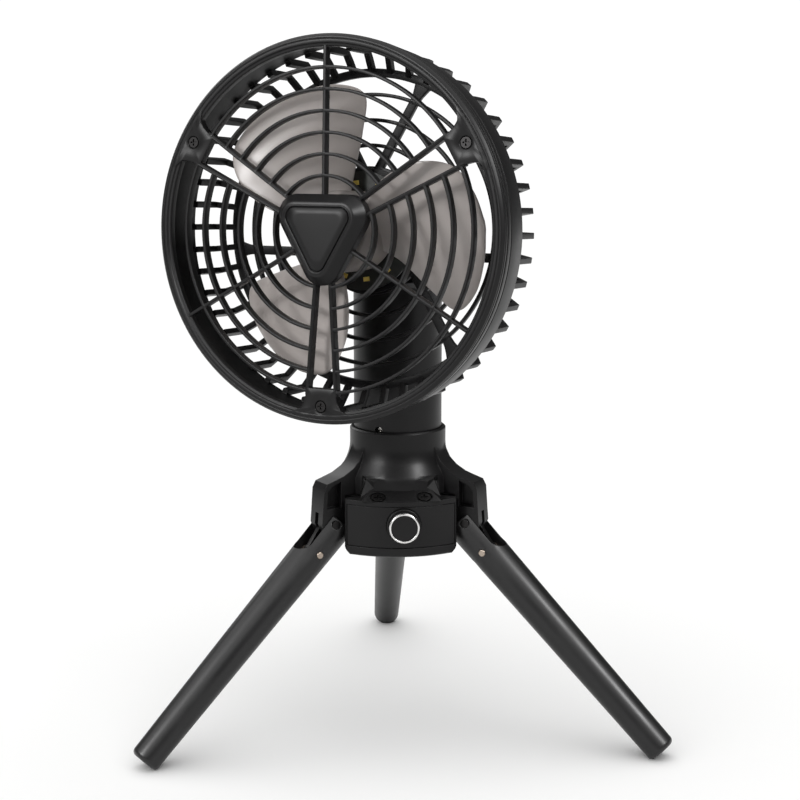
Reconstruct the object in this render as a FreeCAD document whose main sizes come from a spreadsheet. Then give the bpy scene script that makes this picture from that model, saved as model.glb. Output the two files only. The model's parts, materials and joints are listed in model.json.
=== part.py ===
import FreeCAD, Part
import math
import os
import re
import Sketcher

# Portable tripod fan, in millimetres. Z is up, the front of the base faces -Y.
# Base parts are drawn from the height of the leg pivots, column parts the same but turned with the
# column, head parts from the middle of the grille's front face with Z pointing out of the fan, and
# leg parts from their own pivot with Z running down the leg.

SIZES = [
    # where things stand
    ("axis_shift", -20.4),
    ("column_turn", -28.26),
    ("head_tilt", 2.5),
    ("tilt_rise", 150.3),
    ("head_rise", 13.65),
    ("head_forward", 91.2),
    ("running_fit", 0.05),
    ("part_gap", 0.3),
    # front grille
    ("rim_radius", 100.0),
    ("rim_width", 6.6),
    ("rim_depth", 5.0),
    ("rim_edge", 1.4),
    ("spigot_wall", 1.8),
    ("spigot_depth", 3.0),
    ("ring_count", 6),
    ("first_ring", 28.8),
    ("ring_pitch", 10.9),
    ("ring_width", 1.6),
    ("bar_depth", 4.8),
    ("bar_recess", 0.4),
    ("spoke_width", 1.7),
    ("vee_width", 2.2),
    ("vee_spread", 4.0),
    ("vee_start", 1.45),
    ("tab_inset", 18.0),
    ("tab_inner_half", 8.2),
    ("tab_outer_half", 12.6),
    ("screw_inset", 9.3),
    ("grille_head_radius", 2.8),
    ("grille_head_height", 1.7),
    ("grille_shank_radius", 1.25),
    ("grille_shank_length", 8.0),
    ("head_sink", 0.5),
    ("cross_width", 0.8),
    # hub cap
    ("hub_inradius", 19.3),
    ("hub_corner", 11.0),
    ("cap_inradius", 14.6),
    ("cap_corner", 6.9),
    ("cap_height", 6.5),
    ("badge_inradius", 12.6),
    ("badge_corner", 5.0),
    ("badge_sink", 1.2),
    ("badge_thick", 0.9),
    ("peg_radius", 3.0),
    # rear cage
    ("cage_wall", 2.3),
    ("cage_draft", 1.4),
    ("wall_depth", 29.5),
    ("groove_depth", 0.7),
    ("groove_width", 1.2),
    ("rib_count", 48),
    ("rib_width", 2.3),
    ("rib_inset", 2.3),
    ("rib_deep", 2.7),
    ("knee_depth", 49.5),
    ("cage_depth", 57.0),
    ("rear_ring_inset", 13.0),
    ("rear_ring_width", 4.6),
    ("rear_bar_depth", 3.2),
    ("thin_ring_count", 3),
    ("thin_ring_first", 46.2),
    ("thin_ring_pitch", 13.5),
    ("thin_ring_width", 2.0),
    ("rear_apex", 25.0),
    ("rear_bar_width", 5.0),
    ("rear_spread", 30.0),
    ("hub_ring_outer", 35.0),
    ("boss_radius", 3.4),
    ("boss_depth", 10.0),
    # blades
    ("blade_count", 3),
    ("blade_turn", 4.0),
    ("blade_middle", 25.0),
    ("blade_thick", 1.7),
    ("blade_camber", 3.0),
    ("blade_hub_radius", 21.5),
    ("blade_hub_front", 13.0),
    ("blade_hub_back", 40.5),
    ("nut_radius", 4.2),
    ("nut_height", 3.2),
    # motor and light
    ("shaft_radius", 1.5),
    ("shaft_front", 8.6),
    ("shaft_back", 66.0),
    ("rotor_radius", 23.0),
    ("rotor_wall", 1.6),
    ("rotor_front", 47.8),
    ("rotor_back", 61.0),
    ("stator_radius", 19.0),
    ("stator_front", 50.6),
    ("stator_back", 60.4),
    ("stator_teeth", 9),
    ("bearing_radius", 4.0),
    ("bearing_length", 3.0),
    ("tube_wall", 1.6),
    ("housing_radius", 30.0),
    ("housing_wall", 2.0),
    ("housing_front", 46.5),
    ("housing_step", 60.5),
    ("housing_back", 74.0),
    ("housing_rear_radius", 22.0),
    ("housing_floor", 64.0),
    ("flange_radius", 33.8),
    ("flange_thick", 2.0),
    ("motor_screw_radius", 0.8),
    ("motor_head_radius", 1.6),
    ("motor_head_height", 0.9),
    ("knuckle_screw_reach", 12.0),
    ("knuckle_screw_radius", 1.5),
    ("knuckle_head_radius", 2.8),
    ("knuckle_head_height", 1.8),
    ("light_board_outer", 32.0),
    ("light_board_inner", 17.0),
    ("light_board_thick", 1.4),
    ("light_count", 12),
    ("light_ring", 26.0),
    ("light_phase", 8.0),
    ("light_size", 3.2),
    ("light_depth", 2.4),
    ("light_thick", 1.1),
    # tilting joint
    ("knuckle_half", 8.0),
    ("knuckle_radius", 9.0),
    ("washer_thick", 0.8),
    ("washer_gap", 0.1),
    ("washer_radius", 7.0),
    ("ear_thick", 6.0),
    ("ear_radius", 9.0),
    ("pin_radius", 3.0),
    # column
    ("column_radius", 25.4),
    ("column_wall", 2.2),
    ("column_foot", 19.3),
    ("column_top", 132.3),
    ("cap_thick", 3.5),
    ("cap_edge", 2.5),
    ("yoke_spigot", 3.6),
    ("plug_top", 57.3),
    ("neck_radius", 12.0),
    ("neck_bottom", 9.5),
    ("wire_bore", 4.0),
    ("lock_hole_radius", 2.3),
    ("lock_hole_height", 52.2),
    ("lock_head_radius", 1.9),
    ("cell_radius", 9.2),
    ("cell_length", 65.0),
    ("cell_reach", 10.9),
    ("holder_plate", 2.4),
    ("holder_post", 2.0),
    ("holder_post_reach", 19.5),
    ("clip_thick", 1.6),
    ("clip_radius", 16.0),
    # base
    ("collar_wall", 2.0),
    ("collar_clearance", 0.4),
    ("collar_top", 51.4),
    ("flare_top", 37.0),
    ("flare_radius", 33.6),
    ("flare_bottom", 25.2),
    ("flare_round", 26.0),
    ("deck_height", 15.8),
    ("base_bottom", 16.2),
    ("face_radius", 56.0),
    ("face_offset", 11.5),
    ("slot_half", 11.8),
    ("slot_floor", 31.0),
    ("slot_flare", 5.9),
    ("corner_round", 2.5),
    ("cavity_radius", 26.5),
    ("top_plate", 3.5),
    ("panel_half", 30.6),
    ("panel_top", 13.1),
    ("panel_bottom", 10.8),
    ("panel_depth", 1.5),
    ("panel_sink", 0.3),
    ("cover_radius", 29.2),
    ("cover_thick", 2.6),
    ("post_reach", 22.5),
    ("post_radius", 3.0),
    ("cover_head_radius", 2.4),
    ("cover_head_height", 1.4),
    ("cover_shank_radius", 1.2),
    ("cover_shank_length", 7.0),
    ("board_radius", 18.0),
    ("board_height", 10.0),
    ("board_thick", 1.6),
    ("standoff_radius", 2.2),
    ("standoff_reach", 14.5),
    # ledge with the two housing screws
    ("lug_half_top", 15.2),
    ("lug_half_bottom", 22.8),
    ("lug_top", 27.3),
    ("lug_shoulder", 21.6),
    ("lug_front", 43.0),
    ("lug_back", 33.0),
    ("lug_step", 20.0),
    ("lug_screw_reach", 13.0),
    ("lug_screw_front", 38.6),
    ("lug_head_radius", 3.5),
    ("lug_head_height", 1.2),
    ("lug_recess_radius", 4.6),
    ("lug_recess_depth", 1.3),
    ("lug_shank_radius", 1.5),
    ("lug_shank_length", 9.0),
    # knob
    ("knob_side", 1.2),
    ("knob_height", 2.4),
    ("knob_face", 51.0),
    ("knob_radius", 8.2),
    ("knob_ring_radius", 8.6),
    ("knob_disc_radius", 6.7),
    ("knob_ring_depth", 2.6),
    ("knob_gap", 0.4),
    ("boss_ring_radius", 9.7),
    ("boss_ring_face", 45.9),
    ("boss_ring_seat", 42.0),
    ("knob_shaft_radius", 3.0),
    ("bushing_radius", 3.9),
    ("encoder_half", 6.0),
    ("encoder_deep", 6.5),
    # fins that carry the legs
    ("pivot_reach", 47.5),
    ("fin_half", 6.8),
    ("fin_round", 7.5),
    ("hood_reach", 54.5),
    ("hood_height", 23.5),
    ("fin_border", 2.4),
    ("fin_web", 2.0),
    # legs
    ("leg_splay", 46.36),
    ("leg_length", 165.5),
    ("leg_start", 3.5),
    ("tube_drop", 4.5),
    ("leg_radius", 11.0),
    ("foot_radius", 8.45),
    ("foot_round", 3.0),
    ("foot_flat", 1.9),
    ("leg_end_round", 0.8),
    ("leg_wall", 2.7),
    ("cheek_inner", 7.1),
    ("mouth_end", 17.0),
    ("rivet_down", 19.0),
    ("rivet_drop", 3.5),
    ("rivet_radius", 2.0),
    ("rivet_proud", 0.5),
    ("leg_pin_radius", 2.5),
    ("leg_pin_half", 9.7),
    ("link_half", 1.5),
    ("link_eye", 4.8),
]

# blade sections: distance along the blade, trailing edge, leading edge, pitch angle
BLADE = [
    ("root", 12.0, 12.5, 11.5, 44.0),
    ("neck", 27.0, 27.0, 21.0, 32.0),
    ("waist", 42.0, 34.0, 35.0, 23.0),
    ("belly", 57.0, 35.0, 46.0, 18.5),
    ("shoulder", 69.5, 30.0, 36.5, 17.0),
    ("crown", 77.0, 16.0, 18.5, 16.0),
    ("tip", 79.8, 5.0, 6.0, 16.0),
]
for word, reach, trail, lead, pitch in BLADE:
    SIZES.append(("blade_%s_reach" % word, reach))
    SIZES.append(("blade_%s_trail" % word, trail))
    SIZES.append(("blade_%s_lead" % word, lead))
    SIZES.append(("blade_%s_pitch" % word, pitch))

V = FreeCAD.Vector
NUMBER = dict(SIZES)
NAME = re.compile(r"\b[a-z]+(?:_[a-z0-9]+)+\b")
DOC = FreeCAD.newDocument("TripodFan")
NODES = []


def fill_sheet():
    sheet = DOC.addObject("Spreadsheet::Sheet", "Sizes")
    for row, (name, value) in enumerate(SIZES, 1):
        sheet.set("A%d" % row, name)
        sheet.set("B%d" % row, str(value))
        sheet.setAlias("B%d" % row, name)
    DOC.recompute()


def sized(text):
    return NAME.sub(lambda found: "Sizes." + found.group(0), str(text))


def bind(item, prop, text):
    item.setExpression(prop, sized(text))


def frame(x="0", y="0", z="0", axis="0; 0; 1", angle="0"):
    return (
        "create(<<placement>>; create(<<vector>>; %s; %s; %s); "
        "create(<<rotation>>; create(<<vector>>; %s); %s))" % (x, y, z, axis, angle)
    )


PIVOT_HEIGHT = (
    "(leg_length * cos(leg_splay) + (tube_drop + foot_radius) * sin(leg_splay) - foot_flat)"
)
BASE = frame("0", "axis_shift", PIVOT_HEIGHT)
COLUMN = frame("0", "axis_shift", PIVOT_HEIGHT, angle="column_turn")
HEAD = " * ".join(
    [
        COLUMN,
        frame(z="tilt_rise", axis="1; 0; 0", angle="90 - head_tilt"),
        frame("0", "head_rise", "head_forward"),
    ]
)
LEG_SIDES = {"left": "-60", "right": "60", "rear": "180"}
LEDGE_SLOPE = "((lug_step - deck_height) / (lug_front - lug_back))"
LEDGE = frame("0", "-lug_screw_front", "deck_height + (lug_front - lug_screw_front) * " + LEDGE_SLOPE,
              "1; 0; 0", "atan(%s)" % LEDGE_SLOPE)


def leg_frame(side):
    return " * ".join(
        [
            frame("0", "axis_shift", PIVOT_HEIGHT, angle="%s - 90" % LEG_SIDES[side]),
            frame("pivot_reach", "0", "0", "0; 1; 0", "180 - leg_splay"),
            frame("tube_drop"),
        ]
    )


def node(item, label, where):
    item.Label = label
    bind(item, "Placement", where)
    NODES.append(item)
    return item


def body(name):
    made = DOC.addObject("PartDesign::Body", name)
    made.AllowCompound = True
    return made


def origin_part(owner, role):
    return [part for part in owner.Origin.OriginFeatures if part.Role == role][0]


def new_sketch(owner, name, role, lift):
    """A sketch on an origin plane, raised by a length or moved by a whole frame."""
    sketch = owner.newObject("Sketcher::SketchObject", name)
    sketch.AttachmentSupport = [(origin_part(owner, role), "")]
    sketch.MapMode = "FlatFace"
    moved = lift.startswith("create")
    bind(sketch, "AttachmentOffset" if moved else "AttachmentOffset.Base.z", lift)
    return sketch


def fix_point(sketch, geo, which, x, y, here):
    for kind, text, value in (("DistanceX", x, here[0]), ("DistanceY", y, here[1])):
        index = sketch.addConstraint(Sketcher.Constraint(kind, -1, 1, geo, which, value))
        bind(sketch, "Constraints[%d]" % index, text)


def outline(owner, name, role, loops, lift="0"):
    """Closed straight outlines; each loop is a list of (x, y) texts of sheet names."""
    sketch = new_sketch(owner, name, role, lift)
    first = 0
    for points in loops:
        count = len(points)
        ring = [
            (10 * math.cos(2 * math.pi * k / count + 0.1), 10 * math.sin(2 * math.pi * k / count + 0.1))
            for k in range(count)
        ]
        lines = []
        for k in range(count):
            lines.append(Part.LineSegment(V(*ring[k]), V(*ring[(k + 1) % count])))
        sketch.addGeometry(lines, False)
        for k in range(count):
            after = first + (k + 1) % count
            sketch.addConstraint(Sketcher.Constraint("Coincident", first + k, 2, after, 1))
        for k, (x, y) in enumerate(points):
            fix_point(sketch, first + k, 1, x, y, ring[k])
        first += count
    return sketch


def circles(owner, name, role, rounds, lift="0"):
    """Circles, each an (x, y, radius) of texts."""
    sketch = new_sketch(owner, name, role, lift)
    for geo, (x, y, radius) in enumerate(rounds):
        sketch.addGeometry(Part.Circle(V(1, 1, 0), V(0, 0, 1), 5.0 + geo), False)
        fix_point(sketch, geo, 3, x, y, (1.0, 1.0))
        index = sketch.addConstraint(Sketcher.Constraint("Radius", geo, 5.0 + geo))
        bind(sketch, "Constraints[%d]" % index, radius)
    return sketch


def rounded_triangle(owner, name, inradius, corner, lift="0", shrink="0"):
    """Triangle with a flat side up, its three corners rounded."""
    sketch = new_sketch(owner, name, "XY_Plane", lift)
    radius = NUMBER[corner]
    reach = 2 * (NUMBER[inradius] - radius)
    for k in range(3):
        angle = math.radians(30 + 120 * k)
        middle = V(reach * math.cos(angle), reach * math.sin(angle), 0)
        arc = Part.ArcOfCircle(Part.Circle(middle, V(0, 0, 1), radius), angle - math.pi / 3, angle + math.pi / 3)
        sketch.addGeometry(arc, False)
    for k in range(3):
        start = sketch.Geometry[k].EndPoint
        end = sketch.Geometry[(k + 1) % 3].StartPoint
        sketch.addGeometry(Part.LineSegment(start, end), False)
    for k in range(3):
        sketch.addConstraint(Sketcher.Constraint("Tangent", k, 2, 3 + k, 1))
        sketch.addConstraint(Sketcher.Constraint("Tangent", 3 + k, 2, (k + 1) % 3, 1))
    for k in range(3):
        way = 30 + 120 * k
        x = "2 * (%s - %s) * cos(%d)" % (inradius, corner, way)
        y = "2 * (%s - %s) * sin(%d)" % (inradius, corner, way)
        middle = sketch.Geometry[k].Center
        fix_point(sketch, k, 3, x, y, (middle.x, middle.y))
        index = sketch.addConstraint(Sketcher.Constraint("Radius", k, radius))
        bind(sketch, "Constraints[%d]" % index, "%s - %s" % (corner, shrink))
    return sketch


def feature(owner, kind, name, sketch):
    made = owner.newObject("PartDesign::" + kind, name)
    made.Profile = sketch
    sketch.Visibility = False
    owner.Tip = made
    return made


def pad(owner, name, sketch, length, both=False, back=False):
    made = feature(owner, "Pad", name, sketch)
    bind(made, "Length", length)
    made.SideType = "Symmetric" if both else "One side"
    made.Reversed = back
    return made


def pocket(owner, name, sketch, length, both=False, back=False):
    made = feature(owner, "Pocket", name, sketch)
    bind(made, "Length", length)
    made.SideType = "Symmetric" if both else "One side"
    made.Reversed = back
    return made


def turned(owner, name, sketch, kind="Revolution"):
    made = feature(owner, kind, name, sketch)
    made.ReferenceAxis = (origin_part(owner, "Z_Axis"), [""])
    made.Angle = 360
    return made


def around(owner, name, features, count):
    made = owner.newObject("PartDesign::PolarPattern", name)
    made.Originals = features
    made.Axis = (origin_part(owner, "Z_Axis"), [""])
    made.Angle = 360
    bind(made, "Occurrences", count)
    owner.Tip = made
    return made


def soften(owner, name, wanted, radius):
    """Rounds the edges of the body so far that the test picks."""
    DOC.recompute()
    base = owner.Tip
    names = []
    for index, edge in enumerate(base.Shape.Edges, 1):
        if wanted(edge):
            names.append("Edge%d" % index)
    made = owner.newObject("PartDesign::Fillet", name)
    made.Base = (base, names)
    bind(made, "Radius", radius)
    owner.Tip = made
    return made


def solid(kind, name, sizes, at=("0", "0", "0"), way="z", spin=0):
    """A Part primitive with its sizes and its place bound to the sheet."""
    made = DOC.addObject("Part::" + kind, name)
    for prop, text in sizes.items():
        bind(made, prop, text)
    turns = {
        "z": FreeCAD.Rotation(V(0, 0, 1), spin),
        "x": FreeCAD.Rotation(V(0, 1, 0), 90),
        "y": FreeCAD.Rotation(V(1, 0, 0), -90),
        "front": FreeCAD.Rotation(V(1, 0, 0), 90),
    }
    made.Placement = FreeCAD.Placement(V(0, 0, 0), turns[way])
    for letter, text in zip("xyz", at):
        bind(made, "Placement.Base." + letter, text)
    return made


def rod(name, radius, length, at=("0", "0", "0"), way="z"):
    return solid("Cylinder", name, {"Radius": radius, "Height": length}, at, way)


def join(name, parts):
    made = DOC.addObject("Part::MultiFuse", name)
    made.Shapes = parts
    return made


def remove(name, base, tools):
    made = DOC.addObject("Part::Cut", name)
    made.Base = base
    made.Tool = tools[0] if len(tools) == 1 else join(name + "_tools", tools)
    return made


def cross(x, y, arm, half):
    """Outline of a cross slot about (x, y)."""
    signs = [(1, 1), (-1, 1), (-1, -1), (1, -1)]
    loop = []
    for k, (sx, sy) in enumerate(signs):
        three = [(arm, half), (half, half), (half, arm)]
        if k % 2:
            three.reverse()
        for dx, dy in three:
            loop.append(("%s + %d * %s" % (x, sx, dx), "%s + %d * %s" % (y, sy, dy)))
    return [loop]


def screws(label, where, spots, head, height, shank, length, top):
    """Pan head screws with a cross slot, pointing down, their heads ending at top."""
    made = body(label)
    under = "%s - %s" % (top, height)
    heads = circles(made, label + "_heads", "XY_Plane", [(x, y, head) for x, y in spots], under)
    pad(made, label + "_head", heads, height)
    stems = circles(made, label + "_stems", "XY_Plane", [(x, y, shank) for x, y in spots], under)
    pad(made, label + "_stem", stems, length, back=True)
    loops = []
    for x, y in spots:
        loops += cross(x, y, "(%s * 0.62)" % head, "(cross_width / 2)")
    slots = outline(made, label + "_slots", "XY_Plane", loops, top)
    pocket(made, label + "_slot", slots, "%s * 0.6" % height)
    return node(made, label, where)


def front_grille():
    made = body("front_grille")
    inner = "rim_radius - rim_width"
    spigot = "rim_radius - cage_wall - cage_draft * 0.1 - part_gap / 2"
    rim = [
        (inner, "-rim_depth"),
        (inner, "-0.8"),
        (inner + " + 0.8", "0"),
        ("rim_radius - rim_edge", "0"),
        ("rim_radius", "-rim_edge"),
        ("rim_radius", "-rim_depth"),
        (spigot, "-rim_depth"),
        (spigot, "-rim_depth - spigot_depth"),
        (spigot + " - spigot_wall", "-rim_depth - spigot_depth"),
        (spigot + " - spigot_wall", "-rim_depth"),
    ]
    turned(made, "grille_rim", outline(made, "grille_rim_outline", "XZ_Plane", [rim]))
    back = "-bar_recess - bar_depth"
    loops = []
    for k in range(int(NUMBER["ring_count"])):
        middle = "first_ring + %d * ring_pitch" % k
        near = middle + " - ring_width / 2"
        far = middle + " + ring_width / 2"
        loops.append([(near, "-bar_recess"), (far, "-bar_recess"), (far, back), (near, back)])
    turned(made, "grille_rings", outline(made, "grille_ring_outline", "XZ_Plane", loops))
    # the clear wedge inside each pair of spokes
    wide = "((rim_radius - tab_inset) * sin(vee_spread) + vee_start)"
    narrow = "((first_ring + 1) * sin(vee_spread) + vee_start)"
    wedge = [
        ("first_ring + 1.6", "-" + narrow),
        ("(rim_radius - tab_inset) + 1.5", "-" + wide),
        ("(rim_radius - tab_inset) + 1.5", wide),
        ("first_ring + 1.6", narrow),
    ]
    loops = [turn_loop(wedge, 30)]
    cut = pocket(made, "grille_wedge", outline(made, "grille_wedge_outline", "XY_Plane", loops, "1"), "12")
    bars = []
    for side in ("-", ""):
        near = "((hub_inradius + 4) * sin(vee_spread) + vee_start)"
        inner_edge = "%s1 * %s" % (side, near)
        outer_edge = "%s1 * (%s + vee_width)" % (side, near)
        far_inner = "%s1 * (((rim_radius - tab_inset) + 3) * sin(vee_spread) + vee_start)" % side
        far_outer = "%s1 * (((rim_radius - tab_inset) + 3) * sin(vee_spread) + vee_start + vee_width)" % side
        bar = [
            ("hub_inradius + 4", inner_edge),
            ("(rim_radius - tab_inset) + 3", far_inner),
            ("(rim_radius - tab_inset) + 3", far_outer),
            ("hub_inradius + 4", outer_edge),
        ]
        bars.append(turn_loop(bar, 30))
    vee = pad(made, "grille_vee", outline(made, "grille_vee_outline", "XY_Plane", bars, "-bar_recess + 0.1"),
              "bar_depth + 0.1", back=True)
    tab = [
        ("(rim_radius - tab_inset)", "-tab_inner_half"),
        ("rim_radius - rim_width + 1", "-tab_outer_half"),
        ("rim_radius - rim_width + 1", "tab_outer_half"),
        ("(rim_radius - tab_inset)", "tab_inner_half"),
    ]
    plate = pad(made, "grille_tab", outline(made, "grille_tab_outline", "XY_Plane", [turn_loop(tab, 30)], "-0.1"),
                "rim_depth - 0.1", back=True)
    spot = turn_spot("(rim_radius - screw_inset)", "0", 30)
    recess_sketch = circles(made, "grille_recess_round", "XY_Plane", [spot + ("grille_head_radius + 0.4",)], "0.5")
    recess = pocket(made, "grille_recess", recess_sketch, "grille_head_height + head_sink + 0.5")
    bore_sketch = circles(made, "grille_bore_round", "XY_Plane", [spot + ("grille_shank_radius + running_fit",)], "0.5")
    bore = pocket(made, "grille_bore", bore_sketch, "20")
    around(made, "grille_three", [cut, vee, plate, recess, bore], "3")
    spoke = [
        ("-spoke_width / 2", "hub_inradius - 2"),
        ("spoke_width / 2", "hub_inradius - 2"),
        ("spoke_width / 2", "rim_radius - rim_width + 1"),
        ("-spoke_width / 2", "rim_radius - rim_width + 1"),
    ]
    single = pad(made, "grille_spoke", outline(made, "grille_spoke_outline", "XY_Plane", [spoke], "-bar_recess"),
                 "bar_depth", back=True)
    around(made, "grille_spokes", [single], "3")
    hub = rounded_triangle(made, "grille_hub_outline", "hub_inradius", "hub_corner")
    pad(made, "grille_hub", hub, "bar_recess + bar_depth", back=True)
    peg = circles(made, "grille_peg_round", "XY_Plane", [("0", "0", "peg_radius + running_fit")], "1")
    pocket(made, "grille_peg_hole", peg, "12")
    return node(made, "front_grille", HEAD)


def turn_spot(x, y, angle):
    return (
        "(%s) * cos(%s) - (%s) * sin(%s)" % (x, angle, y, angle),
        "(%s) * sin(%s) + (%s) * cos(%s)" % (x, angle, y, angle),
    )


def turn_loop(points, angle):
    return [turn_spot(x, y, angle) for x, y in points]


def three_spots(reach, first):
    return [turn_spot(reach, "0", first + 120 * k) for k in range(3)]


def hub_cap():
    made = body("hub_cap")
    low = rounded_triangle(made, "cap_foot", "hub_inradius", "hub_corner")
    high = rounded_triangle(made, "cap_brow", "cap_inradius", "cap_corner", "cap_height")
    loft = feature(made, "AdditiveLoft", "cap_slope", low)
    loft.Sections = [high]
    loft.Ruled = True
    seat = rounded_triangle(made, "cap_seat", "badge_inradius", "badge_corner", "cap_height")
    pocket(made, "cap_recess", seat, "badge_sink")
    peg = circles(made, "cap_peg_round", "XY_Plane", [("0", "0", "peg_radius")])
    pad(made, "cap_peg", peg, "bar_recess + bar_depth", back=True)
    return node(made, "hub_cap", HEAD)


def badge_plate():
    made = body("badge_plate")
    face = rounded_triangle(made, "badge_face", "badge_inradius", "badge_corner", "cap_height - badge_sink", "part_gap")
    pad(made, "badge_pad", face, "badge_thick")
    return node(made, "badge_plate", HEAD)


def grille_screws():
    spots = three_spots("(rim_radius - screw_inset)", 30)
    return screws("grille_screws", HEAD, spots, "grille_head_radius", "grille_head_height",
                  "grille_shank_radius", "grille_shank_length", "(-head_sink)")


def rear_cage():
    made = body("rear_cage")
    bottom = "rim_radius - cage_draft"
    wall = [
        ("rim_radius - cage_wall", "-rim_depth"),
        ("rim_radius - groove_depth", "-rim_depth"),
        ("rim_radius - groove_depth", "-rim_depth - groove_width"),
        ("rim_radius", "-rim_depth - groove_width"),
        (bottom, "-wall_depth"),
        (bottom + " - cage_wall", "-wall_depth"),
    ]
    turned(made, "cage_band", outline(made, "cage_band_outline", "XZ_Plane", [wall]))
    boss_reach = turn_spot("(rim_radius - screw_inset)", "0", 30)
    boss_sketch = circles(made, "cage_boss_round", "XY_Plane", [boss_reach + ("boss_radius",)], "-rim_depth")
    boss = pad(made, "cage_boss", boss_sketch, "boss_depth", back=True)
    rib_side = [
        ("(rim_radius - screw_inset)", "-1"),
        ("rim_radius - cage_wall + 1", "-1"),
        ("rim_radius - cage_wall + 1", "1"),
        ("(rim_radius - screw_inset)", "1"),
    ]
    stay_sketch = outline(made, "cage_stay_outline", "XY_Plane", [turn_loop(rib_side, 30)], "-rim_depth - spigot_depth - 0.5")
    stay = pad(made, "cage_stay", stay_sketch, "boss_depth - spigot_depth - 0.5", back=True)
    boss_bore = circles(made, "cage_bore_round", "XY_Plane", [boss_reach + ("grille_shank_radius + running_fit",)], "-rim_depth + 1")
    bore = pocket(made, "cage_bore", boss_bore, "boss_depth + 0.4")
    around(made, "cage_bosses", [boss, stay, bore], "3")
    back = "-cage_depth"
    front = "-cage_depth + rear_bar_depth"
    rear = "(rim_radius - rear_ring_inset)"
    ring = [(rear + " - rear_ring_width", back), (rear, back), (rear, front), (rear + " - rear_ring_width", front)]
    turned(made, "cage_ring", outline(made, "cage_ring_outline", "XZ_Plane", [ring]))
    rib = [
        ("(rim_radius - rib_inset) - rib_deep", "-wall_depth + 2.5"),
        ("(rim_radius - rib_inset)", "-wall_depth + 2.5"),
        ("(rim_radius - rib_inset)", "-knee_depth"),
        ("(rim_radius - rear_ring_inset)", "-cage_depth"),
        ("(rim_radius - rear_ring_inset) - 3.5", "-cage_depth"),
        ("(rim_radius - rear_ring_inset) - 3.5", "-cage_depth + 2.4"),
        ("(rim_radius - rib_inset) - rib_deep", "-knee_depth + 2"),
    ]
    first = pad(made, "cage_rib", outline(made, "cage_rib_outline", "XZ_Plane", [rib]), "rib_width", both=True)
    around(made, "cage_ribs", [first], "rib_count")
    return node(made, "rear_cage", HEAD)


def rear_spider():
    """Flat middle of the cage, let into its rear ring: thin rings, spread bars and the motor's seat."""
    made = body("rear_spider")
    back = "-cage_depth"
    front = "-cage_depth + rear_bar_depth"
    rings = []
    for k in range(int(NUMBER["thin_ring_count"])):
        near = "thin_ring_first + %d * thin_ring_pitch - thin_ring_width / 2" % k
        far = "thin_ring_first + %d * thin_ring_pitch + thin_ring_width / 2" % k
        rings.append([(near, back), (far, back), (far, front), (near, front)])
    seat = "housing_radius + part_gap"
    rings.append([(seat, back), ("hub_ring_outer", back), ("hub_ring_outer", front), (seat, front)])
    turned(made, "spider_rings", outline(made, "spider_ring_outline", "XZ_Plane", rings))
    bars = []
    long = "((rim_radius - rear_ring_inset) - rear_ring_width / 2 - rear_apex * cos(rear_spread) + 1.2)"
    for sign in (1, -1):
        half = "rear_bar_width / 2"
        bar = []
        for along, across in (("-1.5", "-" + half), (long, "-" + half), (long, half), ("-1.5", half)):
            x = "%d * ((%s) * sin(rear_spread) + (%s) * cos(rear_spread))" % (sign, along, across)
            y = "rear_apex + (%s) * cos(rear_spread) - (%s) * sin(rear_spread)" % (along, across)
            bar.append((x, y))
        bars.append(bar)
    one = outline(made, "spider_vee_a_outline", "XY_Plane", [bars[0]], front)
    two = outline(made, "spider_vee_b_outline", "XY_Plane", [bars[1]], front)
    vee_a = pad(made, "spider_vee_a", one, "rear_bar_depth", back=True)
    vee_b = pad(made, "spider_vee_b", two, "rear_bar_depth", back=True)
    around(made, "spider_vees", [vee_a, vee_b], "3")
    rim = "rim_radius - rear_ring_inset - rear_ring_width"
    beyond = circles(made, "spider_edge_round", "XY_Plane", [("0", "0", rim), ("0", "0", rim + " + 12")], front + " + 1")
    pocket(made, "spider_edge", beyond, "rear_bar_depth + 3")
    opening = circles(made, "spider_opening_round", "XY_Plane", [("0", "0", seat)], "-cage_depth + rear_bar_depth + 1")
    pocket(made, "spider_opening", opening, "rear_bar_depth + 3")
    spots = three_spots("(flange_radius + housing_radius) / 2 + part_gap", 90)
    holes = circles(made, "spider_motor_holes", "XY_Plane", [spot + ("motor_screw_radius + running_fit",) for spot in spots], front + " + 1")
    pocket(made, "spider_motor_hole", holes, "rear_bar_depth + 0.4")
    return node(made, "rear_spider", HEAD)


def motor_screws():
    spots = three_spots("(flange_radius + housing_radius) / 2 + part_gap", 90)
    top = "(-cage_depth + rear_bar_depth + flange_thick + motor_head_height)"
    return screws("motor_screws", HEAD, spots, "motor_head_radius", "motor_head_height",
                  "motor_screw_radius", "flange_thick + 2.6", top)


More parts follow.
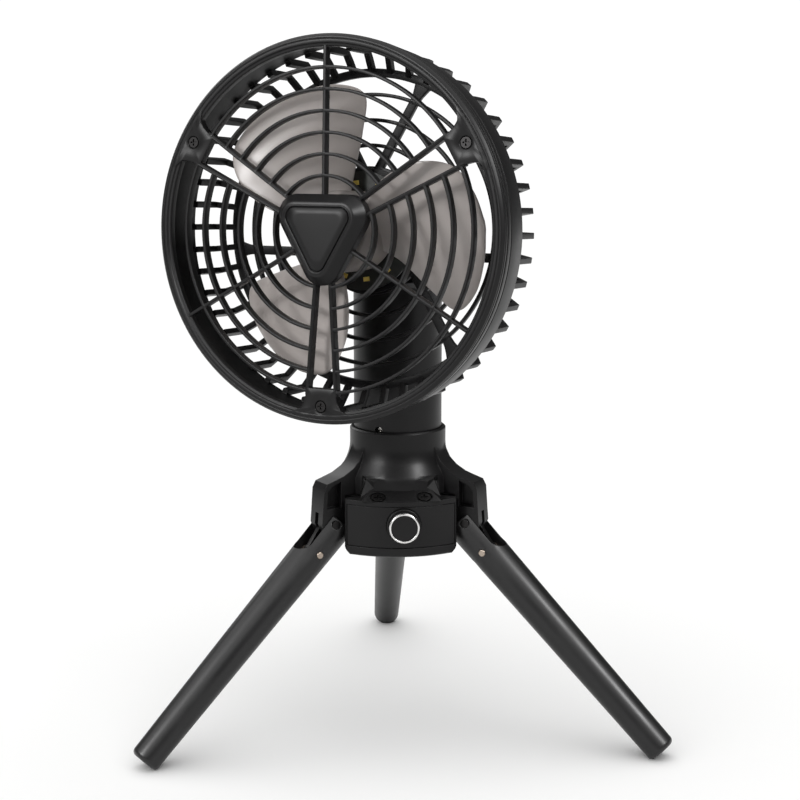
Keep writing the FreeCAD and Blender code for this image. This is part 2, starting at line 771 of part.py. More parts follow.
def fan_blades():
    made = body("fan_blades")
    hub = [
        ("shaft_radius + running_fit / 2", "-blade_hub_front"),
        ("blade_hub_radius - 3", "-blade_hub_front"),
        ("blade_hub_radius", "-blade_hub_front - 3"),
        ("blade_hub_radius", "-blade_hub_back"),
        ("shaft_radius + running_fit / 2", "-blade_hub_back"),
    ]
    sections = []
    steps = (-1, -0.45, 0.1, 0.6, 1)
    for word, _, _, _, _ in BLADE:
        half = "((blade_%s_trail + blade_%s_lead) / 2)" % (word, word)
        shift = "((blade_%s_trail - blade_%s_lead) / 2)" % (word, word)
        turn = "blade_%s_pitch" % word
        upper = []
        lower = []
        for step in steps:
            thin = 0.35 if abs(step) == 1 else 1.0
            bow = "blade_camber * %.4f * %s / 40" % (1 - step * step, half)
            for side, into in ((0.5, upper), (-0.5, lower)):
                lift = "(%s + %.3f * blade_thick)" % (bow, side * thin)
                x = "%s + %.2f * %s * cos(%s) - %s * sin(%s)" % (shift, step, half, turn, lift, turn)
                y = "-blade_middle + %.2f * %s * sin(%s) + %s * cos(%s)" % (step, half, turn, lift, turn)
                into.append((x, y))
        loop = upper + lower[::-1]
        sections.append(outline(made, "blade_%s_outline" % word, "YZ_Plane", [loop], "blade_%s_reach" % word))
    loft = feature(made, "AdditiveLoft", "blade_sheet", sections[0])
    loft.Sections = sections[1:]
    around(made, "blade_set", [loft], "blade_count")
    turned(made, "blade_hub", outline(made, "blade_hub_outline", "XZ_Plane", [hub]))
    where = HEAD + " * " + frame(angle="blade_turn")
    return node(made, "fan_blades", where)


def blade_nut():
    made = body("blade_nut")
    loop = []
    for k in range(6):
        loop.append(("nut_radius * cos(%d)" % (60 * k), "nut_radius * sin(%d)" % (60 * k)))
    pad(made, "nut_pad", outline(made, "nut_outline", "XY_Plane", [loop], "-blade_hub_front"), "nut_height")
    hole = circles(made, "nut_round", "XY_Plane", [("0", "0", "shaft_radius + running_fit / 2")], "-blade_hub_front + nut_height + 1")
    pocket(made, "nut_hole", hole, "nut_height + 2")
    return node(made, "blade_nut", HEAD)


def motor_shaft():
    made = body("motor_shaft")
    pad(made, "shaft_pad", circles(made, "shaft_round", "XY_Plane", [("0", "0", "shaft_radius")], "-shaft_back"),
        "shaft_back - shaft_front")
    return node(made, "motor_shaft", HEAD)


def motor_rotor():
    made = body("motor_rotor")
    bore = "shaft_radius + running_fit / 2"
    cup = [
        (bore, "-rotor_front"),
        ("rotor_radius", "-rotor_front"),
        ("rotor_radius", "-rotor_back"),
        ("rotor_radius - rotor_wall", "-rotor_back"),
        ("rotor_radius - rotor_wall", "-rotor_front - rotor_wall"),
        (bore, "-rotor_front - rotor_wall"),
    ]
    turned(made, "rotor_cup", outline(made, "rotor_outline", "XZ_Plane", [cup]))
    return node(made, "motor_rotor", HEAD)


def motor_stator():
    made = body("motor_stator")
    tube = "bearing_radius + tube_wall + running_fit"
    core = [(tube, "-stator_front"), ("stator_radius * 0.55", "-stator_front"),
            ("stator_radius * 0.55", "-stator_back"), (tube, "-stator_back")]
    turned(made, "stator_core", outline(made, "stator_outline", "XZ_Plane", [core]))
    tooth = [("stator_radius * 0.45", "-2"), ("stator_radius - 2", "-2"), ("stator_radius - 2", "-4.6"),
             ("stator_radius", "-4.6"), ("stator_radius", "4.6"), ("stator_radius - 2", "4.6"),
             ("stator_radius - 2", "2"), ("stator_radius * 0.45", "2")]
    one = pad(made, "stator_tooth", outline(made, "tooth_outline", "XY_Plane", [tooth], "-stator_front"),
              "stator_back - stator_front", back=True)
    around(made, "stator_set", [one], "stator_teeth")
    return node(made, "motor_stator", HEAD)


def motor_bearings():
    made = body("motor_bearings")
    loops = []
    bore = "shaft_radius + running_fit"
    outer = "bearing_radius"
    for front in ("stator_front + 0.6", "stator_back - bearing_length + 1.6"):
        loops.append([(bore, "-(%s)" % front), (outer, "-(%s)" % front),
                      (outer, "-(%s) - bearing_length" % front), (bore, "-(%s) - bearing_length" % front)])
    turned(made, "bearing_pair", outline(made, "bearing_outline", "XZ_Plane", loops))
    return node(made, "motor_bearings", HEAD)


def motor_housing():
    made = body("motor_housing")
    lip = "-cage_depth + rear_bar_depth"
    inner = "housing_radius - housing_wall"
    tube_in = "bearing_radius + running_fit"
    tube_out = "bearing_radius + tube_wall"
    shell = [
        (inner, "-housing_front"),
        ("housing_radius", "-housing_front"),
        ("housing_radius", lip + " + flange_thick"),
        ("flange_radius", lip + " + flange_thick"),
        ("flange_radius", lip),
        ("housing_radius", lip),
        ("housing_radius", "-housing_step"),
        ("housing_rear_radius", "-housing_back"),
        ("0", "-housing_back"),
        ("0", "-housing_floor - 3"),
        (tube_in, "-housing_floor - 3"),
        (tube_in, "-stator_front + 0.6"),
        (tube_out, "-stator_front + 0.6"),
        (tube_out, "-housing_floor"),
        (inner + " - 4", "-housing_floor"),
        (inner, "-housing_step"),
    ]
    turned(made, "housing_cup", outline(made, "housing_outline", "XZ_Plane", [shell]))
    spots = three_spots("(flange_radius + housing_radius) / 2 + part_gap", 90)
    holes = circles(made, "housing_holes", "XY_Plane", [spot + ("motor_screw_radius + running_fit",) for spot in spots], lip + " + 4")
    pocket(made, "housing_hole", holes, "5")
    bores = [("0", "knuckle_screw_reach", "knuckle_screw_radius + running_fit"),
             ("0", "-knuckle_screw_reach", "knuckle_screw_radius + running_fit")]
    drill = circles(made, "housing_bores", "XY_Plane", bores, "-housing_floor + 1")
    pocket(made, "housing_bore", drill, "housing_back - housing_floor + 2")
    return node(made, "motor_housing", HEAD)


def knuckle_screws():
    spots = [("0", "knuckle_screw_reach"), ("0", "-knuckle_screw_reach")]
    return screws("knuckle_screws", HEAD, spots, "knuckle_head_radius", "knuckle_head_height",
                  "knuckle_screw_radius", "housing_back - housing_floor + 5",
                  "(-housing_floor + knuckle_head_height)")


def light_board():
    made = body("light_board")
    back = "-housing_front"
    front = "-housing_front + light_board_thick"
    disc = [("light_board_inner", back), ("light_board_outer", back),
            ("light_board_outer", front), ("light_board_inner", front)]
    turned(made, "light_disc", outline(made, "light_outline", "XZ_Plane", [disc]))
    return node(made, "light_board", HEAD)


def light_chips():
    made = body("light_chips")
    chip = [("light_ring - light_depth / 2", "-light_size / 2"), ("light_ring + light_depth / 2", "-light_size / 2"),
            ("light_ring + light_depth / 2", "light_size / 2"), ("light_ring - light_depth / 2", "light_size / 2")]
    face = outline(made, "chip_outline", "XY_Plane", [turn_loop(chip, "light_phase")], "-housing_front + light_board_thick")
    one = pad(made, "chip_pad", face, "light_thick")
    around(made, "chip_ring", [one], "light_count")
    return node(made, "light_chips", HEAD)


def tilt_knuckle():
    made = body("tilt_knuckle")
    arm = [
        ("15", "-housing_back"),
        ("15", "-housing_back - 3.5"),
        ("-head_rise + knuckle_radius * 0.8", "-head_forward - knuckle_radius * 0.6"),
        ("-head_rise - knuckle_radius", "-head_forward"),
        ("-19", "-housing_back"),
    ]
    pad(made, "knuckle_arm", outline(made, "knuckle_outline", "YZ_Plane", [arm]), "knuckle_half * 2", both=True)
    eye = circles(made, "knuckle_round", "YZ_Plane", [("-head_rise", "-head_forward", "knuckle_radius")])
    pad(made, "knuckle_eye", eye, "knuckle_half * 2", both=True)
    hole = circles(made, "knuckle_bore_round", "YZ_Plane", [("-head_rise", "-head_forward", "pin_radius + running_fit")])
    pocket(made, "knuckle_bore", hole, "knuckle_half * 4", both=True)
    bores = [("0", "knuckle_screw_reach", "knuckle_screw_radius + running_fit"),
             ("0", "-knuckle_screw_reach", "knuckle_screw_radius + running_fit")]
    drill = circles(made, "knuckle_drill", "XY_Plane", bores, "-housing_back + 1")
    pocket(made, "knuckle_tap", drill, "6.6")
    return node(made, "tilt_knuckle", HEAD)


def yoke():
    made = body("yoke")
    inner = "column_radius - column_wall - running_fit"
    cap = [
        ("wire_bore", "column_top - yoke_spigot"),
        (inner, "column_top - yoke_spigot"),
        (inner, "column_top"),
        ("column_radius", "column_top"),
        ("column_radius", "column_top + cap_thick - cap_edge"),
        ("column_radius - cap_edge", "column_top + cap_thick"),
        ("wire_bore", "column_top + cap_thick"),
    ]
    turned(made, "yoke_cap", outline(made, "yoke_outline", "XZ_Plane", [cap]))
    inside = "knuckle_half + washer_thick + 2 * washer_gap"
    for name, side in (("right", "1"), ("left", "-1")):
        ear = [("-ear_radius", "column_top + 1"), ("ear_radius", "column_top + 1"),
               ("ear_radius", "tilt_rise"), ("-ear_radius", "tilt_rise")]
        lift = "(%s) * (%s)" % (side, inside)
        back = side == "-1"
        pad(made, "ear_%s" % name, outline(made, "ear_%s_outline" % name, "YZ_Plane", [ear], lift), "ear_thick", back=back)
        top = circles(made, "ear_%s_round" % name, "YZ_Plane", [("0", "tilt_rise", "ear_radius")], lift)
        pad(made, "ear_%s_top" % name, top, "ear_thick", back=back)
    hole = circles(made, "ear_bore_round", "YZ_Plane", [("0", "tilt_rise", "pin_radius + running_fit")])
    pocket(made, "ear_bore", hole, "100", both=True)
    return node(made, "yoke", COLUMN)


def tilt_washers():
    made = body("tilt_washers")
    for name, side in (("right", "1"), ("left", "-1")):
        lift = "(%s) * (knuckle_half + washer_gap)" % side
        ring = circles(made, "washer_%s_round" % name, "YZ_Plane",
                       [("0", "tilt_rise", "washer_radius"), ("0", "tilt_rise", "pin_radius + running_fit")], lift)
        pad(made, "washer_%s" % name, ring, "washer_thick", back=side == "-1")
    return node(made, "tilt_washers", COLUMN)


def tilt_pin():
    half = "(knuckle_half + washer_thick + 2 * washer_gap + ear_thick)"
    stem = rod("pin_stem", "pin_radius", "2 * %s" % half, ("-%s" % half, "0", "tilt_rise"), "x")
    head = rod("pin_head", "pin_radius + 2", "1.6", (half, "0", "tilt_rise"), "x")
    tail = rod("pin_tail", "pin_radius + 1.2", "1.2", ("-%s - 1.2" % half, "0", "tilt_rise"), "x")
    return node(join("tilt_pin_all", [stem, head, tail]), "tilt_pin", COLUMN)


def column_shell():
    outer = rod("shell_outer", "column_radius", "column_top - column_foot", ("0", "0", "column_foot"))
    inner = rod("shell_inner", "column_radius - column_wall", "column_top - column_foot + 2", ("0", "0", "column_foot - 1"))
    hole = rod("shell_hole", "lock_hole_radius", "column_wall + 4", ("0", "-column_radius + column_wall + 2", "lock_hole_height"), "front")
    return node(remove("shell_cut", outer, [inner, hole]), "column_shell", COLUMN)


def swivel_plug():
    made = body("swivel_plug")
    outer = "column_radius - column_wall - running_fit"
    plug = [
        ("wire_bore", "neck_bottom"),
        ("neck_radius", "neck_bottom"),
        ("neck_radius", "column_foot"),
        (outer, "column_foot"),
        (outer, "plug_top"),
        ("wire_bore", "plug_top"),
    ]
    turned(made, "plug_turned", outline(made, "plug_outline", "XZ_Plane", [plug]))
    groove = [
        ("neck_radius - 1", "neck_bottom + 1"),
        ("neck_radius + 1", "neck_bottom + 1"),
        ("neck_radius + 1", "neck_bottom + 1 + clip_thick + 0.1"),
        ("neck_radius - 1", "neck_bottom + 1 + clip_thick + 0.1"),
    ]
    turned(made, "plug_groove", outline(made, "plug_groove_outline", "XZ_Plane", [groove]), "Groove")
    bore = circles(made, "plug_lock_round", "XZ_Plane", [("0", "lock_hole_height", "lock_head_radius + running_fit")], "column_radius")
    pocket(made, "plug_lock", bore, "column_wall + 6")
    return node(made, "swivel_plug", COLUMN)


def swivel_clip():
    made = body("swivel_clip")
    low = "neck_bottom + 1.05"
    ring = [("neck_radius - 1 + running_fit", low), ("clip_radius", low),
            ("clip_radius", low + " + clip_thick"), ("neck_radius - 1 + running_fit", low + " + clip_thick")]
    turned(made, "clip_ring", outline(made, "clip_outline", "XZ_Plane", [ring]))
    gap = [("-2.5", "0"), ("2.5", "0"), ("2.5", "clip_radius + 2"), ("-2.5", "clip_radius + 2")]
    pocket(made, "clip_gap", outline(made, "clip_gap_outline", "XY_Plane", [gap], low + " + clip_thick + 1"), "clip_thick + 2")
    return node(made, "swivel_clip", COLUMN)


def column_lock_screw():
    reach = "column_radius - column_wall - running_fit - 0.8"
    deep = "5"
    stem = rod("lock_stem", "lock_head_radius", deep, ("0", "-(%s) + 5" % reach, "lock_hole_height"), "front")
    dot = rod("lock_dot", "lock_head_radius * 0.5", "1", ("0", "-(%s) + 0.6" % reach, "lock_hole_height"), "front")
    return node(remove("lock_cut", stem, [dot]), "column_lock_screw", COLUMN)


def battery_cells():
    made = body("battery_cells")
    low = "plug_top + holder_plate"
    can = circles(made, "cell_rounds", "XY_Plane", [spot + ("cell_radius",) for spot in three_spots("cell_reach", 90)], low)
    pad(made, "cell_cans", can, "cell_length - 1.2")
    tip = circles(made, "cell_tips", "XY_Plane", [spot + ("cell_radius * 0.35",) for spot in three_spots("cell_reach", 90)],
                  low + " + cell_length - 1.2")
    pad(made, "cell_tip", tip, "1.2")
    return node(made, "battery_cells", COLUMN)


def battery_holder():
    made = body("battery_holder")
    outer = "column_radius - column_wall - part_gap"
    low = circles(made, "holder_low_round", "XY_Plane", [("0", "0", outer)], "plug_top")
    pad(made, "holder_low", low, "holder_plate")
    high = circles(made, "holder_high_round", "XY_Plane", [("0", "0", outer)], "plug_top + holder_plate + cell_length")
    pad(made, "holder_high", high, "holder_plate")
    posts = [spot + ("holder_post",) for spot in three_spots("holder_post_reach", 30)]
    rods = circles(made, "holder_posts", "XY_Plane", posts, "plug_top")
    pad(made, "holder_rods", rods, "cell_length + holder_plate * 2")
    return node(made, "battery_holder", COLUMN)


def upper_housing():
    made = body("upper_housing")
    bore = "column_radius + collar_clearance"
    collar = bore + " + collar_wall"
    shell = [
        ("neck_radius + part_gap", "deck_height"),
        ("flare_radius", "deck_height"),
        ("flare_radius", "flare_bottom"),
        (collar, "flare_top"),
        (collar, "collar_top - 0.8"),
        (collar + " - 0.8", "collar_top"),
        (bore, "collar_top"),
        (bore, "column_foot"),
        ("neck_radius + part_gap", "column_foot"),
    ]
    turned(made, "collar_turned", outline(made, "collar_outline", "XZ_Plane", [shell]))
    limit = NUMBER["column_radius"] + NUMBER["collar_clearance"] + NUMBER["collar_wall"]

    def bend(edge):
        box = edge.BoundBox
        flat = box.ZLength < 0.01 and abs(box.ZMin - NUMBER["flare_top"]) < 0.01
        return flat and abs(box.XMax - limit) < 0.1

    soften(made, "collar_flare", bend, "flare_round")
    hood = [
        ("column_radius + collar_clearance + 1", "flare_top + 5.5"),
        (collar + " + 0.7", "flare_top + 1.2"),
        (collar + " + 2.8", "flare_top - 2.8"),
        ("hood_reach - 19.8", "hood_height + 6.8"),
        ("hood_reach - 14", "hood_height + 3.5"),
        ("hood_reach - 9.5", "hood_height + 2"),
        ("hood_reach - 3", "hood_height"),
        ("hood_reach - 1", "hood_height - 3.7"),
        ("hood_reach", "6"),
        ("pivot_reach + fin_round", "0"),
        ("pivot_reach + fin_round * 0.7071", "-fin_round * 0.7071"),
        ("pivot_reach", "-fin_round"),
        ("pivot_reach - fin_round * 0.7071", "-fin_round * 0.7071"),
        ("pivot_reach - fin_round", "0"),
        ("pivot_reach - fin_round", "deck_height"),
        ("column_radius + collar_clearance + 1", "deck_height"),
    ]
    fin = pad(made, "fin_pad", outline(made, "fin_outline", "YZ_Plane", [hood]), "fin_half * 2", both=True)
    edge = "fin_border"
    side = [
        ("pivot_reach - fin_round + %s" % edge, "9"),
        ("hood_reach - 0.4 - %s" % edge, "9"),
        ("hood_reach - 1 - %s" % edge, "hood_height - 4.6"),
        ("hood_reach - 4 - %s" % edge, "hood_height - %s + 0.6" % edge),
        ("hood_reach - 11", "hood_height + 2.4 - %s" % edge),
        ("pivot_reach - fin_round + %s" % edge, "hood_height + 3.6 - %s" % edge),
    ]
    right = pocket(made, "fin_side_a", outline(made, "fin_side_a_outline", "YZ_Plane", [side], "fin_half + 1"), "fin_half + 1 - fin_web")
    left = pocket(made, "fin_side_b", outline(made, "fin_side_b_outline", "YZ_Plane", [side], "-fin_half - 1"),
                  "fin_half + 1 - fin_web", back=True)
    fork = [("pivot_reach - fin_round - 1", "-fin_round - 1"), ("pivot_reach + fin_round + 2", "-fin_round - 1"),
            ("pivot_reach + fin_round + 2", "link_eye + 1.6"), ("pivot_reach - fin_round - 1", "link_eye + 1.6")]
    slit = pocket(made, "fin_fork", outline(made, "fin_fork_outline", "YZ_Plane", [fork]), "(link_half + part_gap) * 2", both=True)
    eye = circles(made, "fin_bore_round", "YZ_Plane", [("pivot_reach", "0", "leg_pin_radius + running_fit")])
    bore_cut = pocket(made, "fin_bore", eye, "fin_half * 3", both=True)
    around(made, "fin_set", [fin, right, left, slit, bore_cut], "3")
    lug = [
        ("-column_radius - 2", "deck_height"),
        ("-lug_front", "deck_height"),
        ("-lug_back", "lug_step"),
        ("-lug_back + 1", "lug_top - 1.2"),
        ("-lug_back + 2.2", "lug_top"),
        ("-column_radius - 2", "lug_top"),
    ]
    pad(made, "lug_pad", outline(made, "lug_outline", "YZ_Plane", [lug]), "lug_half_bottom * 2", both=True)
    for name, sign in (("right", "1"), ("left", "-1")):
        shape = [("%s * lug_half_bottom" % sign, "deck_height"), ("%s * lug_half_top" % sign, "lug_shoulder"),
                 ("%s * lug_half_top" % sign, "lug_top + 1"), ("%s * (lug_half_bottom + 3)" % sign, "lug_top + 1"),
                 ("%s * (lug_half_bottom + 3)" % sign, "deck_height")]
        side_cut = outline(made, "lug_%s_outline" % name, "XZ_Plane", [shape], "flare_radius - 1.4")
        pocket(made, "lug_%s" % name, side_cut, "14", back=True)
    lug_holes(made, "lug_recess_radius", "lug_recess_depth", "lug_recess")
    lug_holes(made, "lug_shank_radius + running_fit", "lug_shank_length + 3", "lug_bore")
    return node(made, "upper_housing", BASE)


def lug_spots():
    return [("lug_screw_reach", "0"), ("-lug_screw_reach", "0")]


def lug_holes(made, radius, depth, name):
    spots = [spot + (radius,) for spot in lug_spots()]
    pocket(made, name, circles(made, name + "_round", "XY_Plane", spots, LEDGE), depth)


def lug_screws():
    return screws("lug_screws", BASE + " * " + LEDGE, lug_spots(), "lug_head_radius", "lug_head_height",
                  "lug_shank_radius", "lug_shank_length", "(lug_head_height - lug_recess_depth)")


def front_band(owner, name, inner, outer, half, lift):
    """Strip of the curved front between two radii, as wide as twice half."""
    sketch = new_sketch(owner, name, "XY_Plane", lift)
    middle = (0.0, NUMBER["face_offset"])
    span = NUMBER["panel_half"]
    for geo, (text, guess) in enumerate(((inner, 54.0), (outer, 56.0))):
        swing = math.asin(span / guess)
        circle = Part.Circle(V(middle[0], middle[1], 0), V(0, 0, 1), guess)
        sketch.addGeometry(Part.ArcOfCircle(circle, 1.5 * math.pi - swing, 1.5 * math.pi + swing), False)
        fix_point(sketch, geo, 3, "0", "face_offset", middle)
        index = sketch.addConstraint(Sketcher.Constraint("Radius", geo, guess))
        bind(sketch, "Constraints[%d]" % index, text)
        for which, sign in ((1, "-1"), (2, "1")):
            index = sketch.addConstraint(Sketcher.Constraint("DistanceX", -1, 1, geo, which, float(sign) * span))
            bind(sketch, "Constraints[%d]" % index, "%s * (%s)" % (sign, half))
    for which in (1, 2):
        start = sketch.Geometry[0].StartPoint if which == 1 else sketch.Geometry[0].EndPoint
        end = sketch.Geometry[1].StartPoint if which == 1 else sketch.Geometry[1].EndPoint
        line = sketch.addGeometry(Part.LineSegment(start, end), False)
        sketch.addConstraint(Sketcher.Constraint("Coincident", line, 1, 0, which))
        sketch.addConstraint(Sketcher.Constraint("Coincident", line, 2, 1, which))
    return sketch


def base_shell():
    made = body("base_shell")
    tall = "base_bottom + deck_height"
    disc = circles(made, "shell_round", "XY_Plane", [("0", "0", "face_radius")], "-base_bottom")
    pad(made, "shell_pad", disc, tall)
    outside = circles(made, "shell_side_round", "XY_Plane",
                      [("0", "face_offset", "face_radius"), ("0", "face_offset", "face_radius + 40")], "deck_height + 1")
    side = pocket(made, "shell_side", outside, tall + " + 2")
    low = "slot_half + slot_flare"
    slot = [
        ("-slot_half", "deck_height + 1"),
        ("slot_half", "deck_height + 1"),
        ("slot_half", "-base_bottom + slot_flare"),
        (low, "-base_bottom"),
        (low, "-base_bottom - 1"),
        ("-(%s)" % low, "-base_bottom - 1"),
        ("-(%s)" % low, "-base_bottom"),
        ("-slot_half", "-base_bottom + slot_flare"),
    ]
    cut = pocket(made, "shell_slot", outline(made, "shell_slot_outline", "XZ_Plane", [slot], "-slot_floor"), "face_radius")
    around(made, "shell_three", [side, cut], "3")

    def corner(edge):
        box = edge.BoundBox
        upright = box.XLength < 0.01 and box.YLength < 0.01
        return upright and math.hypot(box.XMin, box.YMin) > NUMBER["slot_floor"] + 12

    soften(made, "shell_corner", corner, "corner_round")
    band = front_band(made, "shell_band", "face_radius - panel_depth", "face_radius + 2", "panel_half", "panel_top")
    pocket(made, "shell_recess", band, "panel_top + panel_bottom")
    room = circles(made, "shell_room_round", "XY_Plane", [("0", "0", "cavity_radius")], "-base_bottom - 1")
    pocket(made, "shell_room", room, "base_bottom + 1 + deck_height - top_plate", back=True)
    neck = circles(made, "shell_neck_round", "XY_Plane", [("0", "0", "neck_radius + part_gap")], "deck_height + 1")
    pocket(made, "shell_neck", neck, "top_plate + 2")
    seat = circles(made, "shell_seat_round", "XY_Plane", [("0", "0", "cover_radius + part_gap / 2")], "-base_bottom - 1")
    pocket(made, "shell_seat", seat, "cover_thick + 1", back=True)
    far = "(face_radius + 1)"
    boss = circles(made, "shell_boss_round", "XZ_Plane", [("knob_side", "knob_height", "boss_ring_radius + running_fit")], far)
    pocket(made, "shell_boss", boss, far + " - boss_ring_seat")
    bore = circles(made, "shell_bore_round", "XZ_Plane", [("knob_side", "knob_height", "bushing_radius + running_fit")], far)
    pocket(made, "shell_bore", bore, far + " - cavity_radius + 3")
    posts = [spot + ("post_radius",) for spot in three_spots("post_reach", 90)]
    pad(made, "shell_posts", circles(made, "shell_post_rounds", "XY_Plane", posts, "deck_height - top_plate"),
        "deck_height - top_plate + base_bottom - cover_thick", back=True)
    taps = [spot + ("cover_shank_radius + running_fit",) for spot in three_spots("post_reach", 90)]
    pocket(made, "shell_taps", circles(made, "shell_tap_rounds", "XY_Plane", taps, "-base_bottom"),
           "cover_thick + cover_shank_length", back=True)
    lug_holes(made, "lug_recess_radius", "lug_recess_depth", "shell_dip")
    lug_holes(made, "lug_shank_radius + running_fit", "lug_shank_length + 1.5", "shell_lug")
    return node(made, "base_shell", BASE)


def front_panel():
    made = body("front_panel")
    band = front_band(made, "panel_band", "face_radius - panel_depth", "face_radius - panel_sink",
                      "panel_half - part_gap", "-panel_bottom + part_gap")
    pad(made, "panel_pad", band, "panel_top + panel_bottom - 2 * part_gap")
    hole = circles(made, "panel_round", "XZ_Plane", [("knob_side", "knob_height", "boss_ring_radius + part_gap / 2")],
                   "face_radius")
    pocket(made, "panel_hole", hole, "20")
    return node(made, "front_panel", BASE)


def bottom_cover():
    made = body("bottom_cover")
    disc = circles(made, "cover_round", "XY_Plane", [("0", "0", "cover_radius")], "-base_bottom")
    pad(made, "cover_pad", disc, "cover_thick")
    posts = [spot + ("standoff_radius",) for spot in three_spots("standoff_reach", 30)]
    pad(made, "cover_posts", circles(made, "cover_post_rounds", "XY_Plane", posts, "-base_bottom + cover_thick"),
        "base_bottom - cover_thick - board_height")
    heads = [spot + ("cover_head_radius + 0.3",) for spot in three_spots("post_reach", 90)]
    pocket(made, "cover_heads", circles(made, "cover_head_rounds", "XY_Plane", heads, "-base_bottom"),
           "cover_head_height + 0.2", back=True)
    bores = [spot + ("cover_shank_radius + running_fit",) for spot in three_spots("post_reach", 90)]
    pocket(made, "cover_bores", circles(made, "cover_bore_rounds", "XY_Plane", bores, "-base_bottom"),
           "cover_thick + 1", back=True)
    return node(made, "bottom_cover", BASE)


def cover_screws():
    where = BASE + " * " + frame(axis="1; 0; 0", angle="180")
    return screws("cover_screws", where, three_spots("post_reach", 30), "cover_head_radius", "cover_head_height",
                  "cover_shank_radius", "cover_shank_length", "(base_bottom - 0.2)")


def control_board():
    made = body("control_board")
    disc = circles(made, "board_round", "XY_Plane", [("0", "0", "board_radius")], "-board_height")
    pad(made, "board_pad", disc, "board_thick")
    parts = []
    for x, y, wide, deep in ((-9, 2, 3.5, 3.5), (4, 4, 5, 4), (-2, -7, 4, 2), (7, -5, 2.5, 2)):
        parts.append([(str(x - wide), str(y - deep)), (str(x + wide), str(y - deep)),
                      (str(x + wide), str(y + deep)), (str(x - wide), str(y + deep))])
    pad(made, "board_parts", outline(made, "board_part_outline", "XY_Plane", parts, "-board_height + board_thick"), "2.4")
    return node(made, "control_board", BASE)


def knob_circle(owner, name, radius, lift):
    return circles(owner, name, "XZ_Plane", [("knob_side", "knob_height", radius)], lift)


def knob_boss():
    made = body("knob_boss")
    pad(made, "boss_pad", knob_circle(made, "boss_outer", "boss_ring_radius", "boss_ring_seat"),
        "boss_ring_face - boss_ring_seat")
    pocket(made, "boss_hole", knob_circle(made, "boss_inner", "bushing_radius + running_fit", "boss_ring_face + 1"), "12")
    return node(made, "knob_boss", BASE)


def knob():
    made = body("knob")
    back = "(boss_ring_face + knob_gap)"
    step = "(knob_face - knob_ring_depth)"
    pad(made, "knob_pad", knob_circle(made, "knob_outer", "knob_radius", back), step + " - " + back)
    pad(made, "knob_disc", knob_circle(made, "knob_disc_round", "knob_disc_radius", step), "knob_ring_depth - 0.5")
    pocket(made, "knob_bore", knob_circle(made, "knob_bore_round", "knob_shaft_radius + running_fit / 2", back),
           "3.2", back=True)
    return node(made, "knob", BASE)


def knob_ring():
    made = body("knob_ring")
    step = "(knob_face - knob_ring_depth)"
    pad(made, "chrome_pad", knob_circle(made, "chrome_outer", "knob_ring_radius", step), "knob_ring_depth")
    pocket(made, "chrome_hole", knob_circle(made, "chrome_inner", "knob_disc_radius + running_fit", "knob_face + 1"), "6")

    def lip(edge):
        box = edge.BoundBox
        return box.YLength < 0.01 and abs(box.YMin + NUMBER["knob_face"]) < 0.01

    soften(made, "chrome_lip", lip, "0.5")
    return node(made, "knob_ring", BASE)


def knob_shaft():
    made = body("knob_shaft")
    pad(made, "stem_pad", knob_circle(made, "stem_round", "knob_shaft_radius", "cavity_radius - 4.5"),
        "boss_ring_face + knob_gap + 3.1 - cavity_radius + 4.5")
    return node(made, "knob_shaft", BASE)


def encoder():
    made = body("encoder")
    front = "(cavity_radius - 2)"
    square = [("knob_side - encoder_half", "knob_height - encoder_half"), ("knob_side + encoder_half", "knob_height - encoder_half"),
              ("knob_side + encoder_half", "knob_height + encoder_half"), ("knob_side - encoder_half", "knob_height + encoder_half")]
    pad(made, "encoder_pad", outline(made, "encoder_outline", "XZ_Plane", [square], front), "encoder_deep", back=True)
    pad(made, "encoder_tube", knob_circle(made, "encoder_tube_round", "bushing_radius", front),
        "boss_ring_face - 0.3 - %s" % front)
    pocket(made, "encoder_bore", knob_circle(made, "encoder_bore_round", "knob_shaft_radius + running_fit", "face_radius"),
           "face_radius - %s + 2.8" % front)
    return node(made, "encoder", BASE)


def leg_pins():
    made = body("leg_pins")
    one = pad(made, "pins_pad", circles(made, "pins_round", "YZ_Plane", [("pivot_reach", "0", "leg_pin_radius")]),
              "leg_pin_half * 2", both=True)
    around(made, "pins_set", [one], "3")
    return node(made, "leg_pins", BASE)


